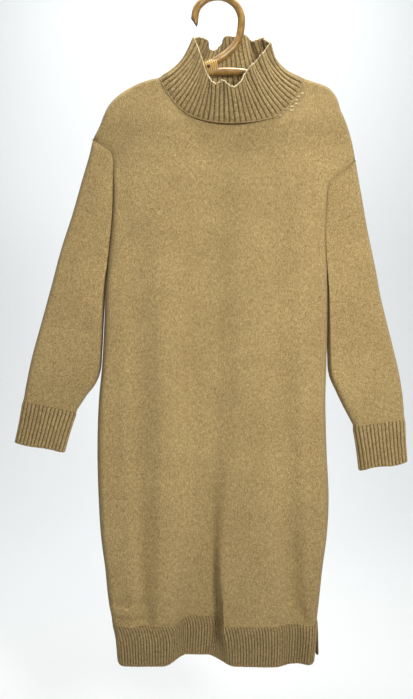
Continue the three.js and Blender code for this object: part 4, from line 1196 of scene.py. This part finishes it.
def cane_winding(name, material, nail_hole_shade):
    """Split cane wound round both canes where they meet, with a near-black ring at the nail as
    painted shade of its hole.
    """
    middle = np.array(WINDING_MIDDLE)
    along = unit(np.array(WINDING_DIRECTION, float))
    rise = np.array([-along[1], along[0]])
    angles = np.linspace(0, 2 * math.pi, 64, endpoint=False)
    turns = []
    for turn in range(WINDING_TURNS):
        at = (turn - (WINDING_TURNS - 1) / 2) * WINDING_PITCH
        swell = 1 - 0.05 * abs(turn - (WINDING_TURNS - 1) / 2)
        lean = at + 0.45 * WINDING_PITCH * np.sin(angles + 0.4 * turn)
        high = WINDING_HALF_HEIGHT * swell * np.cos(angles)
        out = WINDING_HALF_DEPTH * swell * np.sign(np.sin(angles)) * np.abs(np.sin(angles)) ** 0.8
        place = middle + lean[:, None] * along + high[:, None] * rise
        path = lifted(place, out)
        turns.append(bead(f"{name}_{turn}", path, STRIP_RADIUS, material))
    # The ring at the nail is near-black: painted shade of the nail hole
    nail_y = -(WINDING_HALF_DEPTH + STRIP_RADIUS)
    ring = NAIL_RADIUS * np.stack([np.cos(angles), 0 * angles, np.sin(angles)], -1)
    path = ring + np.array([NAIL_PLACE[0], nail_y + 0.6, NAIL_PLACE[1]])
    turns.append(bead(f"{name}_nail", path, NAIL_RADIUS, nail_hole_shade))
    return joined(turns, name)


def joined(pieces, name):
    """Joins mesh objects into the first."""
    first, *others = pieces
    bpy.ops.object.select_all(action="DESELECT")
    for piece in pieces:
        piece.select_set(True)
    bpy.context.view_layer.objects.active = first
    bpy.ops.object.join()
    first.name = name
    return first


def recalculate(mesh):
    """Turns a closed mesh's faces to point out."""
    work = bmesh.new()
    work.from_mesh(mesh)
    bmesh.ops.recalc_face_normals(work, faces=work.faces[:])
    work.to_mesh(mesh)
    work.free()


# Materials

class Tree:
    """Short names for building a material's nodes."""

    def __init__(self, name, roughness):
        self.material = bpy.data.materials.new(name)
        self.material.use_nodes = True
        self.nodes = self.material.node_tree.nodes
        self.links = self.material.node_tree.links
        self.shader = self.nodes["Principled BSDF"]
        self.shader.inputs["Roughness"].default_value = roughness
        self.shader.inputs["Metallic"].default_value = 0

    def link(self, value, socket):
        if hasattr(value, "is_output"):
            self.links.new(value, socket)
        else:
            socket.default_value = value

    def math(self, operation, first, second=0.0):
        node = self.nodes.new("ShaderNodeMath")
        node.operation = operation
        for value, socket in zip((first, second), node.inputs):
            self.link(value, socket)
        return node.outputs[0]

    def noise(self, vector, scale, detail=2.0, roughness=0.5, distortion=0.0):
        node = self.nodes.new("ShaderNodeTexNoise")
        self.link(vector, node.inputs["Vector"])
        node.inputs["Scale"].default_value = scale
        node.inputs["Detail"].default_value = detail
        node.inputs["Roughness"].default_value = roughness
        node.inputs["Distortion"].default_value = distortion
        return node.outputs["Fac"]

    def scaled(self, vector, by):
        node = self.nodes.new("ShaderNodeMapping")
        self.link(vector, node.inputs["Vector"])
        node.inputs["Scale"].default_value = by
        return node.outputs[0]

    def uv(self):
        node = self.nodes.new("ShaderNodeUVMap")
        node.uv_map = "cloth_mm"
        split = self.nodes.new("ShaderNodeSeparateXYZ")
        self.links.new(node.outputs[0], split.inputs[0])
        return node.outputs[0], split.outputs[0], split.outputs[1]

    def place(self):
        return self.nodes.new("ShaderNodeTexCoord").outputs["Object"]

    def ramp(self, value, stops):
        node = self.nodes.new("ShaderNodeValToRGB")
        self.link(value, node.inputs[0])
        elements = node.color_ramp.elements
        while len(elements) < len(stops):
            elements.new(0.5)
        for element, (position, colour) in zip(elements, stops):
            element.position = position
            element.color = (*colour, 1)
        return node.outputs[0]

    def blend(self, kind, share, first, second):
        node = self.nodes.new("ShaderNodeMix")
        node.data_type = "RGBA"
        node.blend_type = kind
        self.link(share, node.inputs[0])
        self.link(first, node.inputs[6])
        self.link(second, node.inputs[7])
        return node.outputs[2]

    def bump(self, height, distance, strength=1.0):
        node = self.nodes.new("ShaderNodeBump")
        self.link(height, node.inputs["Height"])
        node.inputs["Distance"].default_value = distance
        node.inputs["Strength"].default_value = strength
        self.links.new(node.outputs[0], self.shader.inputs["Normal"])


def stitches(tree, across, up):
    """Height of V-shaped stitches and a random tone for each of their legs."""
    wale = tree.math("MULTIPLY", across, 1 / WALE_MM)
    lean = tree.math("ABSOLUTE", tree.math("SUBTRACT", tree.math("FRACT", wale), 0.5))
    row = tree.math("ADD", tree.math("MULTIPLY", up, 1 / COURSE_MM), tree.math("MULTIPLY", lean, 1.3))
    leg = tree.math("ABSOLUTE", tree.math("SINE", tree.math("MULTIPLY", row, math.pi)))
    column = tree.math("ABSOLUTE", tree.math("SINE", tree.math("MULTIPLY", wale, 2 * math.pi)))
    height = tree.math("MULTIPLY", tree.math("POWER", leg, 0.6), tree.math("POWER", column, 0.5))
    cell = tree.nodes.new("ShaderNodeCombineXYZ")
    tree.link(tree.math("FLOOR", tree.math("MULTIPLY", wale, 2)), cell.inputs[0])
    tree.link(tree.math("FLOOR", row), cell.inputs[1])
    random = tree.nodes.new("ShaderNodeTexWhiteNoise")
    random.noise_dimensions = "2D"
    tree.links.new(cell.outputs[0], random.inputs["Vector"])
    return height, random.outputs["Value"]


def knit_material(name, light, dark, ribbed=False):
    """Heathered knit: V-shaped stitches in wales, a tone for each stitch, fibre mottle and nap; on
    ribs, painted shade in the valleys and painted highlight on the crests.
    """
    tree = Tree(name, 0.9)
    vector, across, up = tree.uv()
    centred = tree.math("ADD", across, WALE_MM / 2) if ribbed else across
    stitch, heather = stitches(tree, centred, up)
    fibre = tree.noise(tree.scaled(vector, (1.0, 0.5, 1.0)), 0.32, 3.0, 0.7)
    fuzz = tree.noise(vector, 1.3, 3.0, 0.75)
    cloud = tree.noise(tree.place(), 11.0, 3.0, 0.55)
    mottle = tree.math("ADD", tree.math("MULTIPLY", fibre, 0.42), tree.math("MULTIPLY", fuzz, 0.28))
    mottle = tree.math("ADD", mottle, tree.math("MULTIPLY", heather, 0.3))
    colour = tree.ramp(mottle, [(0.28, dark), (0.72, light)])
    shade = tree.ramp(stitch, [(0.0, (0.5, 0.47, 0.42)), (0.6, (1.05, 1.05, 1.05))])
    colour = tree.blend("MULTIPLY", 0.7, colour, shade)
    tone = tree.ramp(cloud, [(0.3, (0.92, 0.91, 0.89)), (0.7, (1.06, 1.06, 1.06))])
    colour = tree.blend("MULTIPLY", 1.0, colour, tone)
    height = tree.math("ADD", tree.math("MULTIPLY", stitch, 0.7), tree.math("MULTIPLY", mottle, 1.3))
    if ribbed:
        # Painted shade in the rib valleys and painted highlight on the rib crests, multiplied into
        # the colour
        phase = tree.math("MULTIPLY", across, math.pi / RIB_MM)
        ridge = tree.math("ABSOLUTE", tree.math("SINE", phase))
        valley = tree.ramp(ridge, [(0.05, RIB_VALLEY_SHADE), (0.62, (1, 1, 1)), (1.0, RIB_CREST_HIGHLIGHT)])
        colour = tree.blend("MULTIPLY", 1.0, colour, valley)
    tree.links.new(colour, tree.shader.inputs["Base Color"])
    tree.bump(height, 0.0009, 0.9)
    tree.shader.inputs["Specular IOR Level"].default_value = 0.15
    tree.shader.inputs["Sheen Weight"].default_value = 0.12
    tree.shader.inputs["Sheen Roughness"].default_value = 0.45
    tree.shader.inputs["Sheen Tint"].default_value = (0.95, 0.86, 0.7, 1)
    return tree.material


def cane_material(name, light, middle, dark):
    """Varnished cane: fine fibres along its length, darker rings and a clear coat."""
    tree = Tree(name, 0.34)
    vector, around, along = tree.uv()
    streak = tree.noise(tree.scaled(vector, (1.2, 0.03, 1.0)), 1.0, 4.0, 0.6)
    patch = tree.noise(tree.scaled(vector, (0.1, 0.06, 1.0)), 1.0, 3.0, 0.6, 0.4)
    tone = tree.math("ADD", tree.math("MULTIPLY", streak, 0.45), tree.math("MULTIPLY", patch, 0.55))
    colour = tree.ramp(tone, [(0.3, dark), (0.5, middle), (0.7, light)])
    tree.links.new(colour, tree.shader.inputs["Base Color"])
    tree.bump(streak, 0.0004, 0.5)
    tree.shader.inputs["Coat Weight"].default_value = 0.3
    tree.shader.inputs["Coat Roughness"].default_value = 0.28
    return tree.material


def plain_material(name, colour, roughness):
    tree = Tree(name, roughness)
    grain = tree.noise(tree.place(), 260.0, 3.0, 0.6)
    low = tuple(c * (1 - GRAIN_SPREAD) for c in colour)
    high = tuple(min(1, c * (1 + GRAIN_SPREAD)) for c in colour)
    tree.links.new(tree.ramp(grain, [(0.3, low), (0.7, high)]), tree.shader.inputs["Base Color"])
    tree.bump(grain, 0.0004, 0.4)
    return tree.material


knit = knit_material("camel_knit", KNIT_LIGHT, KNIT_DARK)
# Rib material: a darker copy of the knit as painted shade, with painted shade in its valleys and
# painted highlight on its crests
rib = knit_material("camel_rib_painted_shade_and_highlight", RIB_LIGHT_SHADED, RIB_DARK_SHADED, ribbed=True)
# Pale copy of the knit for the collar's cast-off edge and the fashioning marks: painted highlight
cast_off = knit_material("cast_off_painted_highlight", EDGE_HIGHLIGHT_LIGHT, EDGE_HIGHLIGHT_DARK)
cane_finish = cane_material("varnished_cane", *CANE_TONES)
strip_finish = cane_material("cane_strip", *STRIP_TONES)
# Dark material of the cut ends, also used as painted shade for the nail hole
cut_end_and_hole_shade = plain_material("cut_end_and_hole_shade", END_AND_HOLE_SHADE_TONE, 0.7)

# Pieces

cloth = {
    "front_body": body_panel("front_panel_knit", FRONT, knit),
    "back_body": body_panel("back_panel_knit", BACK, knit),
    "front_hem_band": hem_band("front_hem_ribs", FRONT, rib),
    "back_hem_band": hem_band("back_hem_ribs", BACK, rib),
    "left_sleeve": sleeve("left_sleeve_knit", "left", knit),
    "right_sleeve": sleeve("right_sleeve_knit", "right", knit),
    "left_cuff": cuff("left_cuff_ribs", SLEEVES["left"], rib),
    "right_cuff": cuff("right_cuff_ribs", SLEEVES["right"], rib),
    "collar": collar("collar_ribs", [rib, cast_off]),
}
for node, piece in cloth.items():
    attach(piece, "root")
    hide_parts(node)
    "rib" if "ribs" in piece.name else "knit"

# Linking strands: course and radius in millimetres
STRANDS = {
    "neck": (neck_seam(), 1.1),
    "left_armhole": (armhole_seam(-1), 1.2),
    "right_armhole": (armhole_seam(1), 1.4),
    "left_cuff": (cuff_seam(SLEEVES["left"]), 1.0),
    "right_cuff": (cuff_seam(SLEEVES["right"]), 1.0),
    "hem": (hem_seam(), 0.9),
}
seams = {key: bead(f"{key}_linking", path, radius, knit)
         for key, (path, radius) in STRANDS.items()}
# The fashioning marks take the pale painted-highlight material
seams["marks"] = fashion_marks("fashioning_marks", cast_off)
for piece in seams.values():
    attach(piece, "root")

left_rows = [*HOOK_TIP, *hook_arc(), *HOOK_NECK, *under_shoulder(SHOULDER_LEFT, 5)]
right_rows = [*RIGHT_ARM_START, *under_shoulder(SHOULDER_RIGHT, 3), RIGHT_ARM_END]
hook_cane = cane("hook_and_left_arm", left_rows, cane_finish, cut_end_and_hole_shade, (38, 96, 158, 214, 290), 1.1)
arm_cane = cane("right_arm", right_rows, cane_finish, cut_end_and_hole_shade, (60, 140))
winding = cane_winding("cane_winding", strip_finish, cut_end_and_hole_shade)
for piece, node, slot in (
    (hook_cane, "hanger_left_cane", "cane"),
    (arm_cane, "hanger_right_cane", "cane"),
    (winding, "hanger_binding", "binding"),
):
    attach(piece, "root")
    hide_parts(node)


# Stage, light and camera

def stage_cove():
    """Pale floor that bends up into a wall far behind the dress."""
    profile = [(-COVE_REACH, FLOOR_Z), (COVE_BEND, FLOOR_Z)]
    for degrees in range(6, 91, 6):
        angle = math.radians(degrees)
        profile.append((COVE_BEND + COVE_RADIUS * math.sin(angle),
                        FLOOR_Z + COVE_RADIUS * (1 - math.cos(angle))))
    profile.append((profile[-1][0], COVE_TOP))
    vertices = [(x, y, z) for y, z in profile for x in (-COVE_REACH, COVE_REACH)]
    faces = [(2 * k, 2 * k + 1, 2 * k + 3, 2 * k + 2) for k in range(len(profile) - 1)]
    mesh = bpy.data.meshes.new("cove")
    mesh.from_pydata(vertices, [], faces)
    mesh.polygons.foreach_set("use_smooth", np.ones(len(faces), bool))
    cove = placed("cove", mesh)
    tree = Tree("pale_cove", 0.9)
    tree.shader.inputs["Base Color"].default_value = COVE_COLOUR
    mesh.materials.append(tree.material)


def hang_lamp(name, kind, place, target, size, power, colour):
    """Round soft lamp; the beam of a spot fades towards its edge."""
    light = bpy.data.lights.new(name, kind)
    light.energy = power
    light.color = colour
    if kind == "SPOT":
        light.shadow_soft_size = size
        light.spot_size = math.radians(SPOT_DEGREES)
        light.spot_blend = 1.0
    else:
        light.shape = "DISK"
        light.size = size
    lamp = placed(name, light)
    lamp.location = place
    aim = np.array(target) - np.array(place)
    lamp.rotation_euler = Vector(aim).to_track_quat("-Z", "Y").to_euler()


stage_cove()
world = bpy.data.worlds.new("pale")
bpy.context.scene.world = world
world.use_nodes = True
world.node_tree.nodes["Background"].inputs[0].default_value = WORLD_COLOUR
world.node_tree.nodes["Background"].inputs[1].default_value = WORLD_STRENGTH
for lamp_row in LAMPS:
    hang_lamp(*lamp_row)

camera = placed("camera", bpy.data.cameras.new("camera"))
camera.location = (VIEW_CENTRE[0], -CAMERA_DISTANCE, VIEW_CENTRE[1])
camera.rotation_euler = (math.pi / 2, 0, 0)
camera.data.sensor_fit = "VERTICAL"
camera.data.sensor_height = SENSOR_MM
camera.data.lens = SENSOR_MM * CAMERA_DISTANCE / VIEW_HEIGHT
camera.data.clip_start = 0.01
bpy.context.scene.camera = camera
bpy.context.scene.view_settings.view_transform = "Standard"

bpy.context.view_layer.update()
